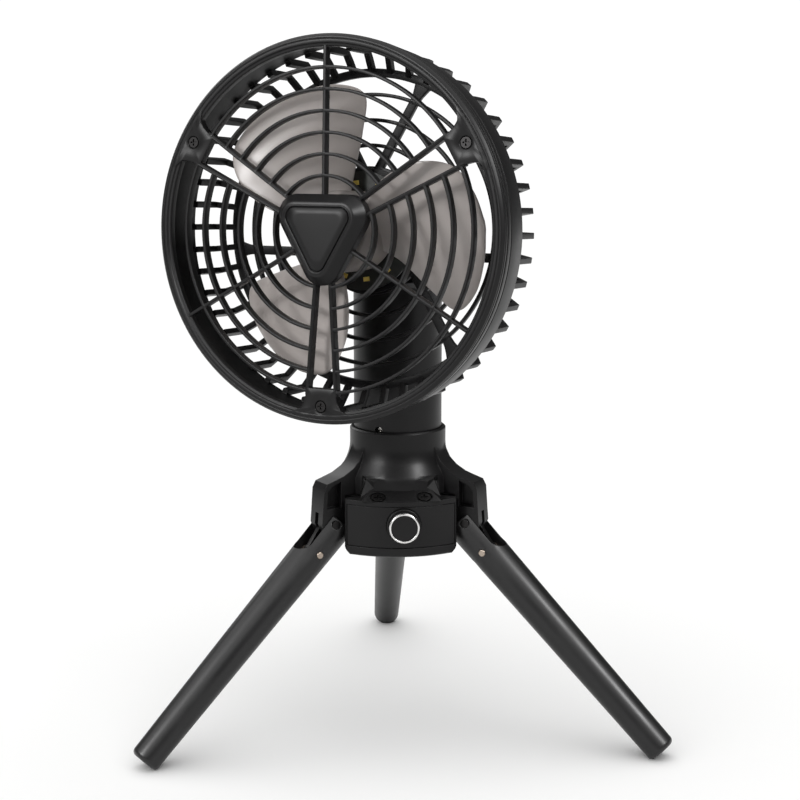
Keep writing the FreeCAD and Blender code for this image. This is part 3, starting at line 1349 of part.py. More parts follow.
def leg(side):
    label = "leg_" + side
    made = body(label)
    tube = [
        ("0", "-leg_start"),
        ("leg_radius - leg_end_round", "-leg_start"),
        ("leg_radius", "-leg_start + leg_end_round"),
        ("foot_radius", "leg_length"),
        ("0", "leg_length"),
    ]
    turned(made, label + "_tube", outline(made, label + "_outline", "XZ_Plane", [tube]))

    def foot(edge):
        box = edge.BoundBox
        return box.ZLength < 0.01 and abs(box.ZMin - NUMBER["leg_length"]) < 0.01

    soften(made, label + "_foot", foot, "foot_round")
    floor = "((%s - ((%%s) + tube_drop) * sin(leg_splay)) / cos(leg_splay))" % PIVOT_HEIGHT
    under = [("25", floor % "25"), ("-15", floor % "-15"), ("25", floor % "-15")]
    pocket(made, label + "_flat", outline(made, label + "_floor", "XZ_Plane", [under]), "80", both=True)
    slit = [("-cheek_inner", "-leg_start - 1"), ("cheek_inner", "-leg_start - 1"),
            ("cheek_inner", "mouth_end"), ("-cheek_inner", "mouth_end")]
    lift = "leg_radius - leg_wall"
    pocket(made, label + "_slit", outline(made, label + "_slit_outline", "YZ_Plane", [slit], lift), "leg_radius * 3")
    round_end = circles(made, label + "_mouth_round", "YZ_Plane", [("0", "mouth_end", "cheek_inner")], lift)
    pocket(made, label + "_mouth", round_end, "leg_radius * 3")
    pin = circles(made, label + "_pin_round", "XZ_Plane", [("-tube_drop", "0", "leg_pin_radius + running_fit")])
    pocket(made, label + "_pin", pin, "leg_radius * 3", both=True)
    stud = circles(made, label + "_stud_round", "XZ_Plane", [("rivet_drop - tube_drop", "rivet_down", "rivet_radius + running_fit")])
    pocket(made, label + "_stud", stud, "leg_radius * 3", both=True)
    return node(made, label, leg_frame(side))


def leg_link(side):
    label = "leg_%s_link" % side
    made = body(label)
    thick = "link_half * 2"
    far = ("rivet_drop - tube_drop", "rivet_down")
    eye = circles(made, label + "_eye_round", "XZ_Plane", [("-tube_drop", "0", "link_eye")])
    pad(made, label + "_eye", eye, thick, both=True)
    end = circles(made, label + "_end_round", "XZ_Plane", [far + ("link_eye - 0.6",)])
    pad(made, label + "_end", end, thick, both=True)
    bar = [("-tube_drop - link_eye + 0.8", "0"), ("-tube_drop + link_eye - 0.8", "0"),
           (far[0] + " + link_eye - 1.2", far[1]), (far[0] + " - link_eye + 1.2", far[1])]
    pad(made, label + "_bar", outline(made, label + "_outline", "XZ_Plane", [bar]), thick, both=True)
    pin = circles(made, label + "_pin_round", "XZ_Plane", [("-tube_drop", "0", "leg_pin_radius + running_fit")])
    pocket(made, label + "_pin", pin, "20", both=True)
    stud = circles(made, label + "_stud_round", "XZ_Plane", [far + ("rivet_radius + running_fit",)])
    pocket(made, label + "_stud", stud, "20", both=True)
    return node(made, label, leg_frame(side))


def leg_rivet(side):
    label = "leg_%s_rivet" % side
    made = body(label)
    stem = circles(made, label + "_round", "XZ_Plane", [("rivet_drop - tube_drop", "rivet_down", "rivet_radius")])
    pad(made, label + "_pad", stem, "(leg_radius - 0.35 + rivet_proud) * 2", both=True)
    ends = NUMBER["leg_radius"] - 0.35 + NUMBER["rivet_proud"]

    def tip(edge):
        box = edge.BoundBox
        return box.YLength < 0.01 and abs(abs(box.YMin) - ends) < 0.01

    soften(made, label + "_dome", tip, "0.6")
    return node(made, label, leg_frame(side))


def build_all():
    fill_sheet()
    front_grille()
    hub_cap()
    badge_plate()
    grille_screws()
    rear_cage()
    rear_spider()
    motor_screws()
    fan_blades()
    blade_nut()
    motor_shaft()
    motor_rotor()
    motor_stator()
    motor_bearings()
    motor_housing()
    knuckle_screws()
    light_board()
    light_chips()
    tilt_knuckle()
    yoke()
    tilt_washers()
    tilt_pin()
    column_shell()
    swivel_plug()
    swivel_clip()
    column_lock_screw()
    battery_cells()
    battery_holder()
    upper_housing()
    lug_screws()
    base_shell()
    front_panel()
    bottom_cover()
    cover_screws()
    control_board()
    knob_boss()
    encoder()
    knob()
    knob_ring()
    knob_shaft()
    leg_pins()
    for side in LEG_SIDES:
        leg(side)
        leg_link(side)
        leg_rivet(side)
    DOC.recompute()


def check_all():
    wrong = []
    for item in DOC.Objects:
        if "Invalid" in item.State or "Error" in item.State:
            wrong.append(item.Label)
    for item in NODES:
        if item.Shape.isNull() or not item.Shape.isValid():
            wrong.append(item.Label + " shape")
    if wrong:
        raise RuntimeError("not built: " + ", ".join(wrong))


def export_all():
    os.makedirs("parts", exist_ok=True)
    for item in NODES:
        item.Shape.exportStep("parts/%s.step" % item.Label)


build_all()
check_all()
export_all()
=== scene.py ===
"""Portable tripod fan: new meshes, finishes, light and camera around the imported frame."""

import json
import logging
import math
from dataclasses import dataclass
from enum import Enum
from typing import Any

import bmesh
import bpy
import numpy as np
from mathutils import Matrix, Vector

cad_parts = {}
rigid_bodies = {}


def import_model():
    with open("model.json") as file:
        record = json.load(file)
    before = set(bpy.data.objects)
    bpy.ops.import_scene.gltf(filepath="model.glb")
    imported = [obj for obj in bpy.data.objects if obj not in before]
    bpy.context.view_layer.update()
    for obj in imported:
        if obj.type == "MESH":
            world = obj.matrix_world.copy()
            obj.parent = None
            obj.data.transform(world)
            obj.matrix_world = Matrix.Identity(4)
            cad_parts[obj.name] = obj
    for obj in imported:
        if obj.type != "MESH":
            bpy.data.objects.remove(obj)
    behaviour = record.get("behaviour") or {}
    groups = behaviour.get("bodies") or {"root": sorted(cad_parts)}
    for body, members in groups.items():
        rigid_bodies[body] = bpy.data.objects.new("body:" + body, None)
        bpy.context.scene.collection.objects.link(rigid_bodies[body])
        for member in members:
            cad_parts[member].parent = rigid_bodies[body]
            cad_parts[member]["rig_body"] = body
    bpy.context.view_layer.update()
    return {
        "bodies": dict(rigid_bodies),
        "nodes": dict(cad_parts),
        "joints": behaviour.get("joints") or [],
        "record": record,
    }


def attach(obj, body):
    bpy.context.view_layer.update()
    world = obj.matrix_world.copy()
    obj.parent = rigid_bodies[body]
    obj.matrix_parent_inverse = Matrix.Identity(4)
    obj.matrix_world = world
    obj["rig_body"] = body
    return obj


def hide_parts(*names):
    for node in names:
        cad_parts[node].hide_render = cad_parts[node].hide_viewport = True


LOG = logging.getLogger("tripod_fan")
MILLIMETRE = 0.001
BASE_EDGE = 0.0022
UNDER_REACH = 0.036
STEEP_TURN = 0.9
SHELL_TONE = (0.0036, 0.0034, 0.0036)
PLATE_TONE = (0.0034, 0.0032, 0.0034)
DUST_TONE = (0.32, 0.31, 0.29)


# ---------------------------------------------------------------- frames


def shift(x: float = 0.0, y: float = 0.0, z: float = 0.0) -> np.ndarray:
    """Four by four matrix that moves by (x, y, z)."""
    made = np.eye(4)
    made[:3, 3] = (x, y, z)
    return made


def spin(axis: str, degrees: float) -> np.ndarray:
    """Four by four matrix that turns about one axis.

    Args:
        axis: x, y or z.
        degrees: the angle, counter-clockwise.

    Returns:
        The matrix; the plane of the two other axes turns by the angle.
    """
    first, second = {"x": (1, 2), "y": (2, 0), "z": (0, 1)}[axis]
    c, s = math.cos(math.radians(degrees)), math.sin(math.radians(degrees))
    made = np.eye(4)
    made[[first, second], [first, second]] = c
    made[first, second], made[second, first] = -s, s
    return made


@dataclass(frozen=True)
class Stance:
    """How the fan stands: the heights and turns that place its sub-assemblies."""

    axis_shift: float = -20.4
    pivot_height: float = 121.687
    column_turn: float = -28.26
    tilt_rise: float = 150.3
    head_tilt: float = 2.5
    head_rise: float = 13.65
    head_forward: float = 91.2
    knob_side: float = 1.2
    knob_height: float = 2.4

    def base(self) -> np.ndarray:
        """Frame of the base: its axis, at the height of the leg pivots."""
        return shift(0.0, self.axis_shift, self.pivot_height)

    def column(self) -> np.ndarray:
        """Frame of the column, turned on the base."""
        return self.base() @ spin("z", self.column_turn)

    def head(self) -> np.ndarray:
        """Frame of the head: middle of the grille's face, Z out of the fan."""
        tilt = shift(z=self.tilt_rise) @ spin("x", 90.0 - self.head_tilt)
        return self.column() @ tilt @ shift(0.0, self.head_rise, self.head_forward)

    def knob(self) -> np.ndarray:
        """Frame of the knob: on the base's axis, Z out of the front."""
        return self.base() @ shift(self.knob_side, 0.0, self.knob_height) @ spin("x", 90.0)


# ---------------------------------------------------------------- surfaces


@dataclass
class Patch:
    """Points in millimetres and the faces that join them."""

    points: np.ndarray
    faces: list[list[int]]

    def placed(self, matrix: np.ndarray) -> "Patch":
        """The same patch in another frame: p becomes R p + t."""
        return Patch(self.points @ matrix[:3, :3].T + matrix[:3, 3], self.faces)

    def around(self, count: int, first: float = 0.0) -> "Patch":
        """Copies about Z, one every full turn / count.

        Args:
            count: number of copies.
            first: angle of the first one in degrees.

        Returns:
            All copies as one patch.
        """
        return joined([self.placed(spin("z", first + 360.0 * k / count)) for k in range(count)])


def joined(patches: list[Patch]) -> Patch:
    """Several patches as one, the face numbers moved up by the points before them."""
    starts = np.cumsum([0] + [len(patch.points) for patch in patches])
    faces: list[list[int]] = []
    for start, patch in zip(starts, patches):
        faces += [[int(start) + corner for corner in face] for face in patch.faces]
    return Patch(np.concatenate([patch.points for patch in patches]), faces)


def grid(points: np.ndarray, wrap_u: bool = False, wrap_v: bool = True, ends: bool = False) -> Patch:
    """Surface through a grid of points P(u, v).

    Args:
        points: array of rows, columns and three coordinates.
        wrap_u: whether the last row meets the first.
        wrap_v: whether the last column meets the first.
        ends: whether the first and last row are closed by a face each.

    Returns:
        A patch with a quad between each four neighbours.
    """
    rows, columns = points.shape[:2]
    u = np.arange(rows if wrap_u else rows - 1)
    v = np.arange(columns if wrap_v else columns - 1)
    a, b = np.meshgrid(u, v, indexing="ij")
    after, beside = (a + 1) % rows, (b + 1) % columns
    corners = [a * columns + b, after * columns + b, after * columns + beside, a * columns + beside]
    faces = np.stack(corners, axis=-1).reshape(-1, 4).tolist()
    if ends:
        faces.append(list(range(columns)))
        faces.append([(rows - 1) * columns + k for k in range(columns)])
    return Patch(points.reshape(-1, 3), faces)


def rounded(corners: Any, radius: Any, steps: int = 3) -> np.ndarray:
    """Closed outline with softened corners.

    Each corner P becomes the curve (1-t)^2 A + 2t(1-t) P + t^2 B, where A and B lie on its two
    sides at the given distance, or at 0.45 of the side if that is less.

    Args:
        corners: the outline's corners, two coordinates each.
        radius: the distance, one for all or one for each corner.
        steps: number of pieces in each curve.

    Returns:
        The points of the outline.
    """
    p = np.asarray(corners, float)
    before, after = np.roll(p, 1, axis=0) - p, np.roll(p, -1, axis=0) - p
    long_before = np.linalg.norm(before, axis=1, keepdims=True)
    long_after = np.linalg.norm(after, axis=1, keepdims=True)
    wanted = np.broadcast_to(np.asarray(radius, float), (len(p),))[:, None]
    cut = np.minimum(wanted, 0.45 * np.minimum(long_before, long_after))
    a = (p + before / long_before * cut)[:, None]
    b = (p + after / long_after * cut)[:, None]
    t = np.linspace(0.0, 1.0, steps + 1)[None, :, None]
    curve = (1 - t) ** 2 * a + 2 * t * (1 - t) * p[:, None] + t**2 * b
    return curve.reshape(-1, 2)


def lathe(profile: np.ndarray, segments: int = 144, closed: bool = True) -> Patch:
    """Profile (r, z) turned about Z: P = (r cos a, r sin a, z).

    Args:
        profile: the points of the profile.
        segments: number of steps of the angle a.
        closed: whether the profile's last point meets its first.

    Returns:
        The turned surface.
    """
    angle = np.linspace(0.0, 2 * math.pi, segments, endpoint=False)[:, None]
    r, z = profile[None, :, 0], profile[None, :, 1]
    points = np.stack([r * np.cos(angle), r * np.sin(angle), z + 0 * angle], axis=-1)
    return grid(points, wrap_u=True, wrap_v=closed)


def arcs(profile: np.ndarray, start: float, stop: float, steps: int = 36) -> Patch:
    """Part of a turn of a closed profile (r, z), with closed ends: P = (r cos a, r sin a, z).

    Args:
        profile: the points of the profile.
        start: first angle a in degrees.
        stop: last angle a in degrees.
        steps: number of steps of the angle.

    Returns:
        The bar.
    """
    angle = np.radians(np.linspace(start, stop, steps + 1))[:, None]
    r, z = profile[None, :, 0], profile[None, :, 1]
    points = np.stack([r * np.cos(angle), r * np.sin(angle), z + 0 * angle], axis=-1)
    return grid(points, ends=True)


def swept(path: np.ndarray, across: np.ndarray, section: np.ndarray, widths: Any = 1.0) -> Patch:
    """Section (a, b) carried along a path: P = path + a w A + b N.

    A is the direction across, N is the normal A x T with T the path's own direction, and w widens
    the section along the path.

    Args:
        path: points of the path.
        across: one direction across for the whole path.
        section: closed outline, across and along the normal.
        widths: the factor w, one or one for each point.

    Returns:
        A bar with closed ends.
    """
    ahead = np.gradient(path, axis=0)
    ahead /= np.linalg.norm(ahead, axis=1, keepdims=True)
    side = across / np.linalg.norm(across)
    normal = np.cross(np.broadcast_to(side, ahead.shape), ahead)
    wide = np.broadcast_to(np.asarray(widths, float), (len(path),))[:, None, None]
    points = path[:, None] + section[None, :, :1] * wide * side + section[None, :, 1:] * normal[:, None]
    return grid(points, ends=True)


def box_section(width: float, depth: float, round_off: float) -> np.ndarray:
    """Outline of a bar, centred, with softened corners."""
    w, d = width / 2, depth / 2
    return rounded([(-w, -d), (w, -d), (w, d), (-w, d)], round_off)


def triangle(inradius: float, corner: float, steps: int = 14) -> np.ndarray:
    """Rounded triangle with a flat side up: C_k + corner (cos a, sin a), C_k at 30 + 120 k degrees.

    Args:
        inradius: distance of the sides from the middle.
        corner: radius of the corners.
        steps: number of steps in each corner.

    Returns:
        The points of the outline.
    """
    k = np.arange(3)[:, None]
    middle = np.radians(30.0 + 120.0 * k)
    a = middle + np.radians(np.linspace(-60.0, 60.0, steps + 1))[None, :]
    reach = 2 * (inradius - corner)
    x = reach * np.cos(middle) + corner * np.cos(a)
    y = reach * np.sin(middle) + corner * np.sin(a)
    return np.stack([x, y], axis=-1).reshape(-1, 2)


def stacked(rows: list[tuple[np.ndarray, float]], centre: tuple[float, float] = (0.0, 0.0)) -> Patch:
    """Outlines at given heights joined in turn, the first and last one closed to the centre.

    Args:
        rows: each outline with its height.
        centre: the point where the closing faces meet.

    Returns:
        The closed surface.
    """
    flat = np.stack([outline for outline, _ in rows])
    height = np.array([z for _, z in rows])[:, None, None]
    height = np.broadcast_to(height, flat.shape[:2] + (1,))
    points = np.concatenate([flat, height], axis=-1)
    pole = np.array([centre[0], centre[1]])
    low = np.concatenate([np.broadcast_to(pole, flat.shape[1:]), height[0]], axis=-1)
    high = np.concatenate([np.broadcast_to(pole, flat.shape[1:]), height[-1]], axis=-1)
    return grid(np.concatenate([low[None], points, high[None]]))


def hermite(knots: np.ndarray, per_span: int) -> np.ndarray:
    """Smooth curve through the rows of a table.

    Between rows A and B with slopes a and b, half the difference of their neighbours, it is
    (2t^3-3t^2+1) A + (t^3-2t^2+t) a + (3t^2-2t^3) B + (t^3-t^2) b.

    Args:
        knots: the table, one row for each knot.
        per_span: number of steps between two knots.

    Returns:
        The rows in between.
    """
    slope = np.gradient(knots, axis=0)
    place = np.linspace(0, len(knots) - 1, (len(knots) - 1) * per_span + 1)
    low = np.minimum(place.astype(int), len(knots) - 2)
    t = (place - low)[:, None]
    first = (2 * t**3 - 3 * t**2 + 1) * knots[low] + (t**3 - 2 * t**2 + t) * slope[low]
    return first + (3 * t**2 - 2 * t**3) * knots[low + 1] + (t**3 - t**2) * slope[low + 1]


# ---------------------------------------------------------------- finishes


class Effect(Enum):
    """Shared surface effects, each a node group."""

    GRAIN = "moulded_grain"
    SMUDGE = "handling_smudge"
    DUST = "settled_dust"


def new_group(name: str, inputs: dict[str, float | None], output: str) -> tuple[Any, Any, Any]:
    """Empty shader group with its sockets.

    Args:
        name: the group's name.
        inputs: number inputs with their values, and None for a vector.
        output: name of the one number that comes out.

    Returns:
        The tree and its input and output nodes.
    """
    tree = bpy.data.node_groups.new(name, "ShaderNodeTree")
    for label, value in inputs.items():
        kind = "NodeSocketVector" if value is None else "NodeSocketFloat"
        socket = tree.interface.new_socket(name=label, in_out="INPUT", socket_type=kind)
        if value is not None:
            socket.default_value = value
    tree.interface.new_socket(name=output, in_out="OUTPUT", socket_type="NodeSocketFloat")
    return tree, tree.nodes.new("NodeGroupInput"), tree.nodes.new("NodeGroupOutput")


def arithmetic(tree: Any, what: str, first: Any, second: Any) -> Any:
    """Math node; each value is a socket or a number.

    Args:
        tree: the node tree.
        what: the operation, such as MULTIPLY.
        first: the first value.
        second: the second value.

    Returns:
        The output socket.
    """
    made = tree.nodes.new("ShaderNodeMath")
    made.operation = what
    for slot, value in enumerate((first, second)):
        if isinstance(value, (int, float)):
            made.inputs[slot].default_value = value
        else:
            tree.links.new(value, made.inputs[slot])
    return made.outputs[0]


def noise(tree: Any, vector: Any, scale: Any, detail: float, distortion: float = 0.0) -> Any:
    """Noise texture; returns its number."""
    made = tree.nodes.new("ShaderNodeTexNoise")
    made.inputs["Detail"].default_value = detail
    made.inputs["Distortion"].default_value = distortion
    tree.links.new(vector, made.inputs["Vector"])
    if isinstance(scale, (int, float)):
        made.inputs["Scale"].default_value = scale
    else:
        tree.links.new(scale, made.inputs["Scale"])
    return made.outputs[0]


def mapped(tree: Any, value: Any, before: tuple[float, float], after: tuple[float, float]) -> Any:
    """Map Range node from one span of numbers to another; returns its output."""
    made = tree.nodes.new("ShaderNodeMapRange")
    tree.links.new(value, made.inputs["Value"])
    for label, number in zip(("From Min", "From Max", "To Min", "To Max"), before + after):
        made.inputs[label].default_value = number
    return made.outputs[0]


def build_effects() -> dict[Effect, Any]:
    """Builds the three shared groups; returns them by effect."""
    tree, start, end = new_group(Effect.GRAIN.value, {"Vector": None, "Scale": 1500.0}, "Height")
    fine = noise(tree, start.outputs[0], start.outputs[1], 2.0)
    coarse = noise(tree, start.outputs[0], arithmetic(tree, "MULTIPLY", start.outputs[1], 0.22), 1.0)
    total = arithmetic(
        tree, "ADD", arithmetic(tree, "MULTIPLY", fine, 0.65), arithmetic(tree, "MULTIPLY", coarse, 0.35)
    )
    tree.links.new(total, end.inputs[0])
    grain = tree
    tree, start, end = new_group(Effect.SMUDGE.value, {"Vector": None, "Scale": 22.0}, "Mask")
    wide = noise(tree, start.outputs[0], start.outputs[1], 5.0, 0.6)
    tree.links.new(mapped(tree, wide, (0.38, 0.66), (0.0, 1.0)), end.inputs[0])
    smudge = tree
    tree, start, end = new_group(Effect.DUST.value, {"Vector": None, "Amount": 0.1}, "Mask")
    speck = mapped(tree, noise(tree, start.outputs[0], 1900.0, 2.0), (0.6, 0.72), (0.0, 1.0))
    face = tree.nodes.new("ShaderNodeNewGeometry")
    split = tree.nodes.new("ShaderNodeSeparateXYZ")
    tree.links.new(face.outputs["Normal"], split.inputs[0])
    upward = mapped(tree, split.outputs[2], (0.1, 0.95), (0.0, 1.0))
    settled = arithmetic(tree, "MULTIPLY", arithmetic(tree, "MULTIPLY", speck, upward), start.outputs[1])
    tree.links.new(settled, end.inputs[0])
    return {Effect.GRAIN: grain, Effect.SMUDGE: smudge, Effect.DUST: tree}


@dataclass(frozen=True)
class Finish:
    """One finish of the fan, named as its slot; colours are linear."""

    slot: str
    colour: tuple[float, float, float]
    roughness: float
    metallic: float = 0.0
    transmission: float = 0.0
    specular: float = 0.5
    coat: float = 0.0
    tone: float = 0.12
    spread: float = 0.05
    grain: float = 1500.0
    bump: float = 0.25
    height: float = 0.00006
    dust: float = 0.05
    edge: float = 0.0005

    def material(self, effects: dict[Effect, Any]) -> Any:
        """Builds the finish.

        Args:
            effects: the shared groups.

        Returns:
            The material.
        """
        made = bpy.data.materials.new(self.slot)
        made.use_nodes = True
        tree = made.node_tree
        tree.nodes.clear()
        out = tree.nodes.new("ShaderNodeOutputMaterial")
        shader = tree.nodes.new("ShaderNodeBsdfPrincipled")
        tree.links.new(shader.outputs[0], out.inputs["Surface"])
        shader.inputs["Metallic"].default_value = self.metallic
        shader.inputs["Transmission Weight"].default_value = self.transmission
        shader.inputs["Specular IOR Level"].default_value = self.specular
        shader.inputs["Coat Weight"].default_value = self.coat
        shader.inputs["Coat Roughness"].default_value = 0.15
        where = tree.nodes.new("ShaderNodeTexCoord").outputs["Object"]
        smudge = self.effect(tree, effects[Effect.SMUDGE], where, 22.0)
        dust = self.effect(tree, effects[Effect.DUST], where, self.dust)
        grain = self.effect(tree, effects[Effect.GRAIN], where, self.grain)
        dark = tuple(c * (1 - self.tone) for c in self.colour)
        pale = tuple(c * (1 + self.tone) for c in self.colour)
        tinted = self.mixed(tree, smudge, dark, pale)
        tree.links.new(self.mixed(tree, dust, tinted, DUST_TONE), shader.inputs["Base Color"])
        low, high = self.roughness - self.spread, self.roughness + self.spread
        tree.links.new(mapped(tree, smudge, (0.0, 1.0), (high, low)), shader.inputs["Roughness"])
        bump = tree.nodes.new("ShaderNodeBump")
        bump.inputs["Strength"].default_value = self.bump
        bump.inputs["Distance"].default_value = self.height
        tree.links.new(grain, bump.inputs["Height"])
        if self.edge > 0:
            soft = tree.nodes.new("ShaderNodeBevel")
            soft.samples = 4
            soft.inputs["Radius"].default_value = self.edge
            tree.links.new(soft.outputs[0], bump.inputs["Normal"])
        tree.links.new(bump.outputs[0], shader.inputs["Normal"])
        return made

    @staticmethod
    def effect(tree: Any, group: Any, where: Any, value: float) -> Any:
        """Places a shared group with its own value; returns its output."""
        node = tree.nodes.new("ShaderNodeGroup")
        node.node_tree = group
        tree.links.new(where, node.inputs[0])
        node.inputs[1].default_value = value
        return node.outputs[0]

    @staticmethod
    def mixed(tree: Any, mask: Any, first: Any, second: Any) -> Any:
        """Mixes two colours by a mask; each colour is a socket or three numbers."""
        node = tree.nodes.new("ShaderNodeMix")
        node.data_type = "RGBA"
        tree.links.new(mask, node.inputs[0])
        for slot, colour in ((6, first), (7, second)):
            if isinstance(colour, tuple):
                node.inputs[slot].default_value = (*colour, 1.0)
            else:
                tree.links.new(colour, node.inputs[slot])
        return node.outputs[2]


FINISHES = (
    Finish("shell_black", SHELL_TONE, 0.38, specular=0.24),
    Finish("cap_black", PLATE_TONE, 0.34, specular=0.26, grain=2200.0, bump=0.15),
    Finish("plate_black", PLATE_TONE, 0.36, specular=0.24, grain=2000.0, bump=0.12),
    Finish("leg_black", (0.0040, 0.0038, 0.0040), 0.37, specular=0.44),
    Finish("blade_frost", (0.435, 0.397, 0.378), 0.38, transmission=0.35, coat=0.1, tone=0.04, dust=0.0,
           grain=900.0, bump=0.08, edge=0.0),
    Finish("steel_dark", (0.030, 0.029, 0.029), 0.34, metallic=1.0, dust=0.0, bump=0.1, edge=0.0002),
    Finish("steel_bright", (0.62, 0.60, 0.57), 0.24, metallic=1.0, dust=0.0, bump=0.08, edge=0.0002),
    Finish("rivet", (0.40, 0.335, 0.28), 0.34, metallic=1.0, dust=0.0, bump=0.08, edge=0.0002),
    Finish("chrome", (0.82, 0.81, 0.80), 0.20, metallic=1.0, dust=0.0, bump=0.02, edge=0.0),
    Finish("knob_black", SHELL_TONE, 0.36, specular=0.24, grain=2500.0, bump=0.15, edge=0.0),
    Finish("board", (0.012, 0.014, 0.012), 0.36, tone=0.2, dust=0.0, bump=0.05, edge=0.0002),
    Finish("lamp", (0.78, 0.58, 0.12), 0.30, tone=0.06, dust=0.0, coat=0.3, bump=0.05, edge=0.0002),
    Finish("copper", (0.55, 0.24, 0.11), 0.35, metallic=1.0, dust=0.0, edge=0.0),
    Finish("cell_wrap", (0.04, 0.16, 0.30), 0.35, dust=0.0, edge=0.0),
    Finish("holder", (0.05, 0.05, 0.05), 0.5, dust=0.0, edge=0.0),
)

NODE_SLOTS = {
    "front_grille": "shell_black",
    "hub_cap": "cap_black",
    "badge_plate": "plate_black",
    "grille_screws": "steel_dark",
    "rear_cage": "shell_black",
    "rear_spider": "shell_black",
    "motor_screws": "steel_dark",
    "fan_blades": "blade_frost",
    "blade_nut": "steel_bright",
    "motor_shaft": "steel_bright",
    "motor_rotor": "steel_bright",
    "motor_stator": "copper",
    "motor_bearings": "steel_bright",
    "motor_housing": "shell_black",
    "knuckle_screws": "steel_dark",
    "light_board": "board",
    "light_chips": "lamp",
    "tilt_knuckle": "shell_black",
    "yoke": "shell_black",
    "tilt_washers": "holder",
    "tilt_pin": "steel_dark",
    "column_shell": "shell_black",
    "swivel_plug": "shell_black",
    "swivel_clip": "steel_bright",
    "column_lock_screw": "steel_bright",
    "battery_cells": "cell_wrap",
    "battery_holder": "holder",
    "upper_housing": "shell_black",
    "lug_screws": "steel_dark",
    "base_shell": "shell_black",
    "front_panel": "plate_black",
    "bottom_cover": "shell_black",
    "cover_screws": "steel_dark",
    "control_board": "board",
    "knob_boss": "knob_black",
    "encoder": "steel_bright",
    "knob": "knob_black",
    "knob_ring": "chrome",
    "knob_shaft": "steel_bright",
    "leg_pins": "steel_dark",
    "leg_left": "leg_black",
    "leg_right": "leg_black",
    "leg_rear": "leg_black",
    "leg_left_link": "steel_dark",
    "leg_right_link": "steel_dark",
    "leg_rear_link": "steel_dark",
    "leg_left_rivet": "rivet",
    "leg_right_rivet": "rivet",
    "leg_rear_rivet": "rivet",
}


